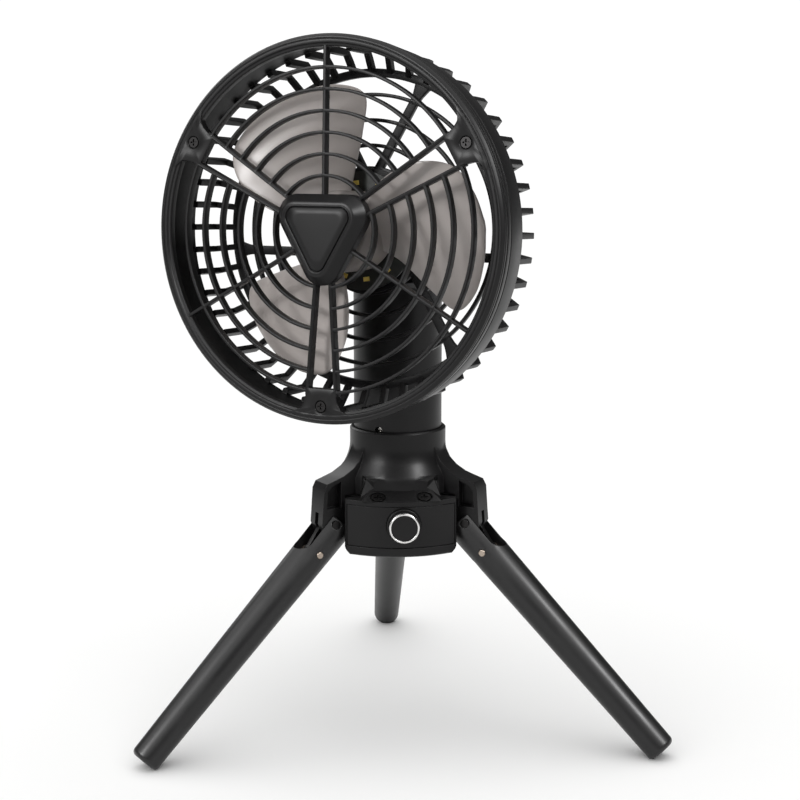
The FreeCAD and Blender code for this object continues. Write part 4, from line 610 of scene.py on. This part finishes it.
class Workshop:
    """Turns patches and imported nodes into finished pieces."""

    def __init__(self, frame: dict[str, Any]) -> None:
        """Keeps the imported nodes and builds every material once."""
        self.nodes = frame["nodes"]
        effects = build_effects()
        self.materials = {finish.slot: finish.material(effects) for finish in FINISHES}

    def piece(self, name: str, patch: Patch, node: str, sharp: float = 38.0) -> Any:
        """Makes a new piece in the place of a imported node.

        Args:
            name: the piece's name.
            patch: its surface in the row frame, in millimetres.
            node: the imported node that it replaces.
            sharp: edges that turn by more than this, in degrees, stay crisp.

        Returns:
            The object.
        """
        obj = self.raw(name, patch.points * MILLIMETRE, patch.faces, NODE_SLOTS[node], sharp)
        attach(obj, self.nodes[node]["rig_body"])
        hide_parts(node)
        LOG.info("%s: %d faces in place of %s", name, len(obj.data.polygons), node)
        return obj

    def raw(self, name: str, points: np.ndarray, faces: list[list[int]], slot: str, sharp: float) -> Any:
        """Mesh object from points and faces, its doubles merged and its faces turned outwards.

        Args:
            name: the object's name.
            points: the points in metres.
            faces: the points' numbers round each face.
            slot: the finish's slot.
            sharp: edges that turn by more than this, in degrees, stay crisp.

        Returns:
            The object.
        """
        spots, index = np.unique(np.round(points, 7), axis=0, return_inverse=True)
        index = index.reshape(-1)
        slim = [list(dict.fromkeys(int(index[corner]) for corner in face)) for face in faces]
        mesh = bpy.data.meshes.new(name)
        mesh.from_pydata(spots.tolist(), [], [face for face in slim if len(face) > 2])
        shape = bmesh.new()
        shape.from_mesh(mesh)
        bmesh.ops.recalc_face_normals(shape, faces=shape.faces)
        shape.to_mesh(mesh)
        shape.free()
        mesh.polygons.foreach_set("use_smooth", np.ones(len(mesh.polygons), bool))
        mesh.set_sharp_from_angle(angle=math.radians(sharp))
        mesh.materials.append(self.materials[slot])
        obj = bpy.data.objects.new(name, mesh)
        bpy.context.scene.collection.objects.link(obj)
        return obj

    def skin(self, node: str, sharp: float = 32.0, round_under: float = 0.0, warp: Any = None) -> Any:
        """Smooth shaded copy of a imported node, its loose triangles merged.

        Args:
            node: the node's name.
            sharp: edges that turn by more than this, in degrees, stay crisp.
            round_under: radius in metres that softens the lowest outer edge, or nothing.
            warp: function that moves the points, or None.

        Returns:
            The object.
        """
        mesh = self.nodes[node].data
        points = np.empty(len(mesh.vertices) * 3)
        mesh.vertices.foreach_get("co", points)
        corners = np.empty(len(mesh.loops), int)
        mesh.loops.foreach_get("vertex_index", corners)
        faces = corners.reshape(-1, 3).tolist()
        points = points.reshape(-1, 3) if warp is None else warp(points.reshape(-1, 3))
        obj = self.raw(node + "_skin", points, faces, NODE_SLOTS[node], sharp)
        if round_under > 0:
            self.soften_under(obj.data, round_under, sharp)
        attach(obj, self.nodes[node]["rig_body"])
        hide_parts(node)
        LOG.info("%s: smooth copy, %d faces", node, len(obj.data.polygons))
        return obj

    @staticmethod
    def soften_under(mesh: Any, radius: float, sharp: float) -> None:
        """Rounds the edges at the mesh's lowest height that lie away from its axis.

        Args:
            mesh: the mesh, changed in place.
            radius: size of the rounding in metres.
            sharp: edges that turn by more than this, in degrees, stay crisp.
        """
        shape = bmesh.new()
        shape.from_mesh(mesh)
        bmesh.ops.dissolve_limit(shape, angle_limit=0.002, verts=shape.verts, edges=shape.edges)
        low = min(vertex.co.z for vertex in shape.verts)
        middle = Vector((0.0, Stance.axis_shift * MILLIMETRE))
        chosen = []
        for edge in shape.edges:
            flat = all(vertex.co.z < low + 1e-5 for vertex in edge.verts)
            far = all((vertex.co.xy - middle).length > UNDER_REACH for vertex in edge.verts)
            if flat and far and edge.calc_face_angle(0.0) > STEEP_TURN:
                chosen.append(edge)
        bmesh.ops.bevel(shape, geom=chosen, offset=radius, segments=4, profile=0.5, affect="EDGES")
        shape.to_mesh(mesh)
        shape.free()
        mesh.polygons.foreach_set("use_smooth", np.ones(len(mesh.polygons), bool))
        mesh.set_sharp_from_angle(angle=math.radians(sharp))

    def dress(self, node: str) -> None:
        """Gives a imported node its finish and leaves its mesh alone."""
        mesh = self.nodes[node].data
        mesh.materials.clear()
        mesh.materials.append(self.materials[NODE_SLOTS[node]])


# ---------------------------------------------------------------- the head


@dataclass
class FrontGrille:
    """Front grille: a rim, six rings, three pairs of spokes with a tab, three single spokes."""

    rim_radius: float = 100.0
    rim_inner: float = 93.4
    first_ring: float = 28.8
    ring_pitch: float = 10.9
    ring_count: int = 6
    ring_width: float = 1.6
    bar_depth: float = 4.8
    bar_recess: float = 0.4
    vee_spread: float = 4.0
    vee_start: float = 1.45
    vee_width: float = 2.2
    hub_inradius: float = 19.3
    hub_corner: float = 11.0
    screw_reach: float = 90.7
    recess_radius: float = 3.2
    back: float = -5.0
    vee_span: tuple[float, float] = (22.0, 85.0)
    single_span: tuple[float, float] = (17.5, 94.0)
    single_width: float = 1.7
    tab_side: tuple[tuple[float, float], ...] = (
        (81.2, 7.9),
        (88.6, 9.9),
        (91.8, 11.6),
        (93.4, 14.4),
        (94.0, 18.4),
        (95.9, 16.0),
        (96.1, 8.0),
        (96.2, 0.0),
    )

    def rim(self) -> Patch:
        """Rim with a soft outer edge, a stepped inner lip and the spigot behind it."""
        profile = [
            (self.rim_inner, self.back),
            (self.rim_inner, -1.5),
            (self.rim_inner + 0.4, -1.0),
            (self.rim_inner + 1.5, -0.95),
            (self.rim_inner + 1.9, -0.05),
            (self.rim_inner + 3.5, 0.0),
            (self.rim_inner + 3.8, -0.45),
            (self.rim_inner + 4.1, 0.0),
            (self.rim_radius - 1.5, -0.05),
            (self.rim_radius - 0.1, -1.45),
            (self.rim_radius, -2.3),
            (self.rim_radius - 0.45, -2.45),
            (self.rim_radius - 0.45, -3.1),
            (self.rim_radius, -3.25),
            (self.rim_radius, -4.9),
            (97.4, self.back),
            (97.4, -8.0),
            (95.6, -8.0),
            (95.6, self.back),
        ]
        return lathe(rounded(profile, 0.22, 2), 216)

    def rings(self) -> Patch:
        """Ring bars, each a third of a turn from spoke pair to spoke pair."""
        made = []
        middle = -self.bar_recess - self.bar_depth / 2
        for k in range(self.ring_count):
            radius = self.first_ring + k * self.ring_pitch
            section = box_section(self.ring_width, self.bar_depth, 0.38) + (radius, middle)
            half = radius * math.sin(math.radians(self.vee_spread)) + self.vee_start + 1.2
            away = math.degrees(math.asin(half / radius))
            made.append(arcs(section, 30.0 + away, 150.0 - away, 48))
        return joined(made).around(3)

    def spokes(self) -> Patch:
        """Three pairs of slightly spread spokes with a crowned front, and three single ones."""
        front = -self.bar_recess
        back = front - self.bar_depth
        w = self.vee_width / 2
        crown = [(-w, back), (w, back), (w, front - 0.5), (0.3, front + 0.3), (-w, front - 0.5)]
        crowned = rounded(crown, 0.3)
        made = []
        spread = math.sin(math.radians(self.vee_spread))
        for side in (1.0, -1.0):
            reach = np.linspace(*self.vee_span, 12)
            off = side * (reach * spread + self.vee_start + w)
            path = np.stack([reach, off, 0 * reach], axis=-1)
            made.append(swept(path, np.array([-side * spread, 1.0, 0.0]), crowned * (1.0, -1.0)))
        pairs = joined(made).around(3, 30.0)
        reach = np.linspace(*self.single_span, 12)
        s = self.single_width / 2
        path = np.stack([0 * reach, reach, 0 * reach], axis=-1)
        single = rounded([(-s, back), (s, back), (s, front), (-s, front)], 0.35)
        one = swept(path, np.array([-1.0, 0.0, 0.0]), single * (1.0, -1.0))
        return joined([pairs, one.around(3)])

    def hub(self) -> Patch:
        """Rounded triangular plate behind the cap."""
        rows = [(19.0, 10.8, -5.2), (19.3, 11.0, -4.9), (19.3, 11.0, -0.3), (19.0, 10.8, -0.02)]
        return stacked([(triangle(inradius, corner), z) for inradius, corner, z in rows])

    def tabs(self) -> Patch:
        """Tabs with a round recess for the screw, from its centre out to the tab's outline."""
        turn = np.linspace(0.0, 2 * math.pi, 120, endpoint=False)
        ray = np.stack([np.cos(turn), np.sin(turn)], axis=-1)
        side = np.array(self.tab_side)
        corners = np.concatenate([side, side[::-1] * (1.0, -1.0)]) - (self.screw_reach, 0.0)
        share = np.linspace(0.0, 1.0, 24, endpoint=False)[None, :, None]
        edge = corners[:, None] * (1 - share) + np.roll(corners, -1, axis=0)[:, None] * share
        edge = edge.reshape(-1, 2)
        angle = np.arctan2(edge[:, 1], edge[:, 0])
        order = np.argsort(angle)
        reach = np.interp(turn, angle[order], np.hypot(edge[:, 0], edge[:, 1])[order], period=2 * math.pi)
        outline = ray * reach[:, None]
        r = self.recess_radius
        rows = [
            (ray * (r - 0.1), self.back + 2.4),
            (ray * r, -0.7),
            (ray * (r + 0.15), -0.4),
            (ray * (r + 0.55), -0.1),
            (outline - ray * 0.45, -0.1),
            (outline - ray * 0.1, -0.25),
            (outline, -0.6),
            (outline, -4.9),
        ]
        return stacked(rows).placed(shift(self.screw_reach)).around(3, 30.0)

    def build(self, shop: Workshop, place: np.ndarray) -> None:
        """Makes the grille in its frame."""
        parts = [self.rim(), self.rings(), self.spokes(), self.hub(), self.tabs()]
        shop.piece("front_grille_bars", joined(parts).placed(place), "front_grille")


@dataclass
class HubCap:
    """Cap in the middle of the grille, with a bare plate let into its face."""

    rows: tuple[tuple[float, float, float], ...] = (
        (19.0, 10.7, -0.02),
        (19.3, 11.0, 0.0),
        (19.3, 11.0, 0.5),
        (19.2, 10.92, 0.66),
        (19.05, 10.79, 0.86),
        (15.45, 7.62, 5.6),
        (15.3, 7.5, 5.8),
        (15.1, 7.33, 6.02),
        (14.85, 7.12, 6.14),
        (14.55, 6.85, 6.2),
        (13.95, 6.3, 6.2),
        (13.8, 6.18, 6.28),
        (13.62, 6.02, 6.5),
        (13.4, 5.84, 6.56),
        (13.18, 5.64, 6.5),
        (13.0, 5.5, 6.3),
        (12.85, 5.3, 6.0),
        (12.6, 5.0, 5.9),
        (12.6, 5.0, 5.3),
    )
    plate: tuple[tuple[float, float, float], ...] = (
        (12.3, 4.7, 5.3),
        (12.3, 4.7, 5.95),
        (12.1, 4.5, 6.18),
        (9.0, 3.4, 6.26),
        (4.5, 1.7, 6.3),
    )

    def build(self, shop: Workshop, place: np.ndarray) -> None:
        """Makes the cap and the plate."""
        cap = stacked([(triangle(inradius, corner), z) for inradius, corner, z in self.rows])
        shop.piece("hub_cap_shell", cap.placed(place), "hub_cap", 50.0)
        face = stacked([(triangle(inradius, corner), z) for inradius, corner, z in self.plate])
        shop.piece("badge_plate_face", face.placed(place), "badge_plate", 50.0)


@dataclass
class RearCage:
    """Ribbed wall of the cage: a band, ribs bent round the knee, and the rear ring."""

    rib_count: int = 48
    rib_width: float = 3.2
    rib_depth: float = 3.9
    back: float = -57.0
    front: float = -53.8
    wall: float = 95.75
    screw_reach: float = 90.7

    def band(self) -> Patch:
        """Outer wall with the parting groove behind the rim and a bead inside."""
        profile = [
            (97.7, -5.0),
            (99.3, -5.0),
            (99.3, -6.2),
            (100.0, -6.3),
            (99.75, -10.4),
            (99.1, -10.6),
            (99.1, -11.6),
            (99.65, -11.8),
            (98.6, -29.3),
            (98.2, -29.5),
            (96.3, -29.5),
        ]
        return lathe(rounded(profile, 0.3, 2), 216)

    def ribs(self) -> Patch:
        """Ribs bent round the knee: straight back, then in to the rear ring."""
        wall = self.wall
        flat = np.array([(wall, -27.0), (wall, -40.0), (wall, -48.2), (91.0, -51.6), (85.6, -55.1)])
        path = np.stack([flat[:, 0], 0 * flat[:, 0], flat[:, 1]], axis=-1)
        one = swept(path, np.array([0.0, 1.0, 0.0]), box_section(self.rib_width, self.rib_depth, 0.35))
        return one.around(self.rib_count)

    def ring(self) -> Patch:
        """Rear ring that the ribs end on."""
        profile = [(82.4, self.back), (87.0, self.back), (87.0, self.front), (82.4, self.front)]
        return lathe(rounded(profile, 0.55, 2), 180)

    def bosses(self) -> Patch:
        """Screw bosses inside the band, each with a stay to the wall."""
        post = lathe(rounded([(1.3, -5.0), (3.4, -5.0), (3.4, -15.0), (1.3, -15.0)], 0.3, 2), 32)
        stay = np.array([(91.0, 0.0, -11.5), (97.5, 0.0, -11.5)])
        web = swept(stay, np.array([0.0, 1.0, 0.0]), box_section(2.0, 6.0, 0.3))
        return joined([post.placed(shift(self.screw_reach)), web]).around(3, 30.0)

    def build(self, shop: Workshop, place: np.ndarray) -> None:
        """Makes the cage in its frame."""
        parts = [self.band(), self.ribs(), self.ring(), self.bosses()]
        shop.piece("rear_cage_ribs", joined(parts).placed(place), "rear_cage")


@dataclass
class RearSpider:
    """Flat middle of the cage: thin rings, spread bars and the ring round the motor."""

    back: float = -57.0
    front: float = -53.8
    seat: float = 30.3
    rim: float = 82.4
    apex: float = 25.0
    bar_width: float = 5.0
    thin_rings: tuple[float, ...] = (46.2, 59.7, 73.2)

    def rings(self) -> Patch:
        """Thin rings and the motor's ring, all between the same two planes."""
        made = []
        for near, far in [(r - 1.0, r + 1.0) for r in self.thin_rings] + [(self.seat, 35.0)]:
            profile = [(near, self.back), (far, self.back), (far, self.front), (near, self.front)]
            made.append(lathe(rounded(profile, 0.5, 2), 180))
        return joined(made)

    def bars(self) -> Patch:
        """Pairs of bars spread by thirty degrees each way, flared where they meet the rear ring."""
        lean = math.radians(30.0)
        length = math.sqrt(self.rim**2 - (self.apex * math.sin(lean)) ** 2) - self.apex * math.cos(lean)
        along = np.linspace(4.0, length + 0.6, 20)
        flare = 1.0 + 0.9 * np.clip((along - length + 9.0) / 9.0, 0.0, 1.0) ** 2
        middle = (self.back + self.front) / 2
        made = []
        for side in (lean, -lean):
            x, y = along * math.sin(side), self.apex + along * math.cos(side)
            path = np.stack([x, y, middle + 0 * along], axis=-1)
            across = np.array([math.cos(side), -math.sin(side), 0.0])
            made.append(swept(path, across, box_section(self.bar_width, 3.2, 0.6), flare))
        return joined(made).around(3)

    def build(self, shop: Workshop, place: np.ndarray) -> None:
        """Makes the spider in the head's frame."""
        shop.piece("rear_spider_bars", joined([self.rings(), self.bars()]).placed(place), "rear_spider")


@dataclass
class FanBlades:
    """Three swept, twisted paddles on a round hub."""

    turn: float = 4.0
    middle: float = -25.0
    thick: float = 1.7
    camber: float = 3.0
    hub_radius: float = 21.5
    table: tuple[tuple[float, float, float, float], ...] = (
        (16.0, 14.5, 12.6, 41.0),
        (27.0, 27.0, 21.0, 32.0),
        (42.0, 34.0, 35.0, 23.0),
        (57.0, 35.0, 46.0, 18.5),
        (69.5, 30.0, 36.5, 17.0),
        (77.0, 16.5, 19.0, 16.0),
        (79.9, 3.0, 4.0, 16.0),
        (80.1, 0.4, 0.5, 16.0),
    )

    def paddle(self) -> Patch:
        """One blade.

        At a distance x along the blade, with pitch p, half width h and middle m, the point of the
        section at angle v is s = cos v along the chord and a lift of the camber c (1 - s^2) h / 40
        plus or minus half the thickness, which falls to nothing at the edges as |sin v|^0.4.

        Returns:
            The blade, its root inside the hub.
        """
        rows = hermite(np.array(self.table), 8)
        reach, trail, lead = rows[:, 0:1], np.maximum(rows[:, 1:2], 0.3), np.maximum(rows[:, 2:3], 0.3)
        pitch = np.radians(rows[:, 3:4])
        half, shifted = (trail + lead) / 2, (trail - lead) / 2
        v = np.linspace(0.0, 2 * math.pi, 56, endpoint=False)[None, :]
        s = np.cos(v)
        root = 1.0 + 1.5 * np.exp(-np.maximum(reach - self.hub_radius, 0.0) / 2.2)
        thin = self.thick / 2 * root * np.minimum(1.0, half / 2.6)
        lift = self.camber * (1 - s**2) * half / 40 + np.sign(np.sin(v)) * np.abs(np.sin(v)) ** 0.4 * thin
        y = shifted + s * half * np.cos(pitch) - lift * np.sin(pitch)
        z = self.middle + s * half * np.sin(pitch) + lift * np.cos(pitch)
        return grid(np.stack([reach + 0 * s, y, z], axis=-1), ends=True)

    def hub(self) -> Patch:
        """Hub with a softened front edge, bored for the shaft."""
        r = self.hub_radius
        profile = [(1.6, -13.0), (r - 3.2, -13.0), (r, -16.2), (r, -40.5), (1.6, -40.5)]
        return lathe(rounded(profile, (0.2, 2.4, 2.4, 0.6, 0.2), 5), 128)

    def build(self, shop: Workshop, place: np.ndarray) -> None:
        """Makes the blades in the head's frame."""
        parts = joined([self.paddle().around(3), self.hub()])
        shop.piece("fan_blades_set", parts.placed(place @ spin("z", self.turn)), "fan_blades", 45.0)


# ---------------------------------------------------------------- the base


@dataclass
class ScrewLedge:
    """Ledge with the housing's screws, its square shoulders drawn in to the round flare."""

    half_width: float = 15.3
    half_limit: float = 22.9
    deck: float = 15.9
    front: float = -32.3
    back: float = -24.0
    flare: float = 33.5

    def drawn_in(self, points: np.ndarray) -> np.ndarray:
        """Moves the shoulders' points to the flare: (x, y) becomes (x, y) flare / reach.

        Args:
            points: the housing's points in metres.

        Returns:
            The points, the others as they were.
        """
        middle = Stance().base()[:3, 3]
        x, y, z = (points / MILLIMETRE - middle).T
        reach = np.maximum(np.hypot(x, y), 1.0)
        wide = (np.abs(x) > self.half_width) & (np.abs(x) < self.half_limit)
        shoulder = wide & (z > self.deck) & (y > self.front) & (y < self.back) & (reach > self.flare + 0.2)
        share = np.where(shoulder, self.flare / reach, 1.0)
        return (np.stack([x * share, y * share, z], axis=-1) + middle) * MILLIMETRE

    def build(self, shop: Workshop) -> None:
        """Makes the housing's smooth copy with the shoulders drawn in."""
        shop.skin("upper_housing", warp=self.drawn_in)


@dataclass
class SpeedKnob:
    """Knob: a boss, a turned body with a slightly domed disc, and a bright ring round it."""

    face: float = 51.0

    def build(self, shop: Workshop, place: np.ndarray) -> None:
        """Makes the boss, the knob and its ring."""
        face = self.face
        boss = rounded([(3.95, 42.0), (9.7, 42.0), (9.7, 45.9), (3.95, 45.9)], (0.2, 0.3, 0.7, 0.2), 4)
        shop.piece("knob_boss_turned", lathe(boss, 96).placed(place), "knob_boss")
        body = [(0.0, 46.3), (7.9, 46.3), (8.2, 46.6), (8.2, 48.4), (7.25, 48.4), (7.25, face - 0.75)]
        dome = [(7.05, face - 0.52), (4.5, face - 0.42), (2.2, face - 0.37), (0.0, face - 0.35)]
        shop.piece("knob_body", lathe(np.array(body + dome), 96, closed=False).placed(place), "knob")
        ring = [(7.3, face - 2.6), (8.6, face - 2.6), (8.6, face - 0.6)]
        ring += [(8.2, face), (7.5, face), (7.3, face - 0.3)]
        shop.piece("knob_ring_bright", lathe(rounded(ring, 0.25, 4), 160).placed(place), "knob_ring")


# ---------------------------------------------------------------- studio


@dataclass(frozen=True)
class Lamp:
    """One soft lamp of the studio."""

    name: str
    at: tuple[float, float, float]
    aim: tuple[float, float, float]
    size: float
    watts: float

    def build(self, unlit: Any) -> None:
        """Makes the lamp, turns it to its aim and keeps it off what the collection leaves out."""
        light = bpy.data.lights.new(self.name, "AREA")
        light.energy, light.size = self.watts, self.size
        obj = bpy.data.objects.new(self.name, light)
        obj.location = self.at
        obj.rotation_euler = (Vector(self.aim) - Vector(self.at)).to_track_quat("-Z", "Y").to_euler()
        obj.light_linking.receiver_collection = unlit
        bpy.context.scene.collection.objects.link(obj)


@dataclass
class Studio:
    """Pale floor, soft lamps and the camera."""

    floor_half: float = 6.0
    camera_at: tuple[float, float, float] = (-0.0418, -0.8594, 0.3353)
    camera_way: tuple[float, float] = (0.0513, 0.9987)
    camera_pitch: float = -9.97
    lens: float = 66.15
    sun: float = 3.25
    lamps: tuple[Lamp, ...] = (
        Lamp("key_lamp", (-1.2, -1.05, 0.85), (0.0, -0.05, 0.2), 0.4, 18.0),
        Lamp("fill_lamp", (1.1, -1.1, 1.2), (0.0, -0.05, 0.2), 0.4, 22.0),
        Lamp("back_lamp", (-0.8, 1.4, 1.0), (0.0, 0.0, 0.2), 1.0, 7.0),
    )

    def floor(self) -> Any:
        """Wide pale floor with a faint mottling; returns the collection that spares it the lamps."""
        h = self.floor_half
        line = np.linspace(-h, h, 9)
        x, y = np.meshgrid(line, line, indexing="ij")
        patch = grid(np.stack([x, y, 0 * x], axis=-1), wrap_v=False)
        mesh = bpy.data.meshes.new("studio_floor")
        mesh.from_pydata(patch.points.tolist(), [], patch.faces)
        made = bpy.data.materials.new("studio_floor")
        made.use_nodes = True
        shader = made.node_tree.nodes["Principled BSDF"]
        shader.inputs["Roughness"].default_value = 0.8
        shader.inputs["Specular IOR Level"].default_value = 0.2
        where = made.node_tree.nodes.new("ShaderNodeTexCoord").outputs["Object"]
        soft = noise(made.node_tree, where, 3.0, 2.0)
        tone = Finish.mixed(made.node_tree, soft, (0.965, 0.965, 0.96), (0.985, 0.985, 0.98))
        made.node_tree.links.new(tone, shader.inputs["Base Color"])
        mesh.materials.append(made)
        obj = bpy.data.objects.new("studio_floor", mesh)
        bpy.context.scene.collection.objects.link(obj)
        unlit = bpy.data.collections.new("studio_unlit")
        unlit.objects.link(obj)
        unlit.collection_objects[0].light_linking.link_state = "EXCLUDE"
        return unlit

    def world(self) -> None:
        """Even white surroundings, dimmer as a light than as a background."""
        world = bpy.data.worlds.new("studio")
        world.use_nodes = True
        tree = world.node_tree
        back = tree.nodes["Background"]
        back.inputs["Color"].default_value = (1.0, 1.0, 1.0, 1.0)
        path = tree.nodes.new("ShaderNodeLightPath")
        strength = mapped(tree, path.outputs["Is Camera Ray"], (0.0, 1.0), (0.1, 1.05))
        tree.links.new(strength, back.inputs["Strength"])
        bpy.context.scene.world = world

    def daylight(self) -> None:
        """Wide even light from above, the same over the whole floor."""
        light = bpy.data.lights.new("even_light", "SUN")
        light.energy, light.angle = self.sun, math.radians(110.0)
        obj = bpy.data.objects.new("even_light", light)
        obj.rotation_euler = (math.radians(12.0), math.radians(-8.0), 0.0)
        bpy.context.scene.collection.objects.link(obj)

    def camera(self) -> None:
        """Camera at the photograph's place and angle."""
        made = bpy.data.cameras.new("front_camera")
        made.lens, made.sensor_width = self.lens, 36.0
        made.clip_start = 0.01
        obj = bpy.data.objects.new("front_camera", made)
        obj.location = self.camera_at
        pitch = math.radians(self.camera_pitch)
        way = Vector((*(part * math.cos(pitch) for part in self.camera_way), math.sin(pitch)))
        obj.rotation_euler = way.to_track_quat("-Z", "Y").to_euler()
        bpy.context.scene.collection.objects.link(obj)
        bpy.context.scene.camera = obj

    def build(self) -> None:
        """Sets up the whole studio."""
        self.camera()
        unlit = self.floor()
        self.world()
        self.daylight()
        for lamp in self.lamps:
            lamp.build(unlit)
        bpy.context.scene.view_settings.view_transform = "Standard"


SKINS = (
    "grille_screws", "motor_screws", "blade_nut", "motor_housing", "knuckle_screws", "light_board",
    "light_chips", "tilt_knuckle", "yoke", "tilt_washers", "tilt_pin", "column_shell", "swivel_plug",
    "column_lock_screw", "lug_screws", "base_shell", "front_panel", "bottom_cover",
    "cover_screws", "leg_pins", "leg_left", "leg_right", "leg_rear", "leg_left_link",
    "leg_right_link", "leg_rear_link", "leg_left_rivet", "leg_right_rivet", "leg_rear_rivet",
)
PLAIN = (
    "motor_shaft", "motor_rotor", "motor_stator", "motor_bearings", "swivel_clip", "battery_cells",
    "battery_holder", "control_board", "encoder", "knob_shaft",
)


def main() -> None:
    """Builds the studio and every piece of the fan in order."""
    logging.basicConfig(level=logging.INFO, format="%(message)s")
    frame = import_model()
    Studio().build()
    shop = Workshop(frame)
    stance = Stance()
    head = stance.head()
    FrontGrille().build(shop, head)
    HubCap().build(shop, head)
    RearCage().build(shop, head)
    RearSpider().build(shop, head)
    FanBlades().build(shop, head)
    ScrewLedge().build(shop)
    SpeedKnob().build(shop, stance.knob())
    for node in SKINS:
        shop.skin(node, round_under=BASE_EDGE if node == "base_shell" else 0.0)
    for node in PLAIN:
        shop.dress(node)


if __name__ == "__main__":
    main()
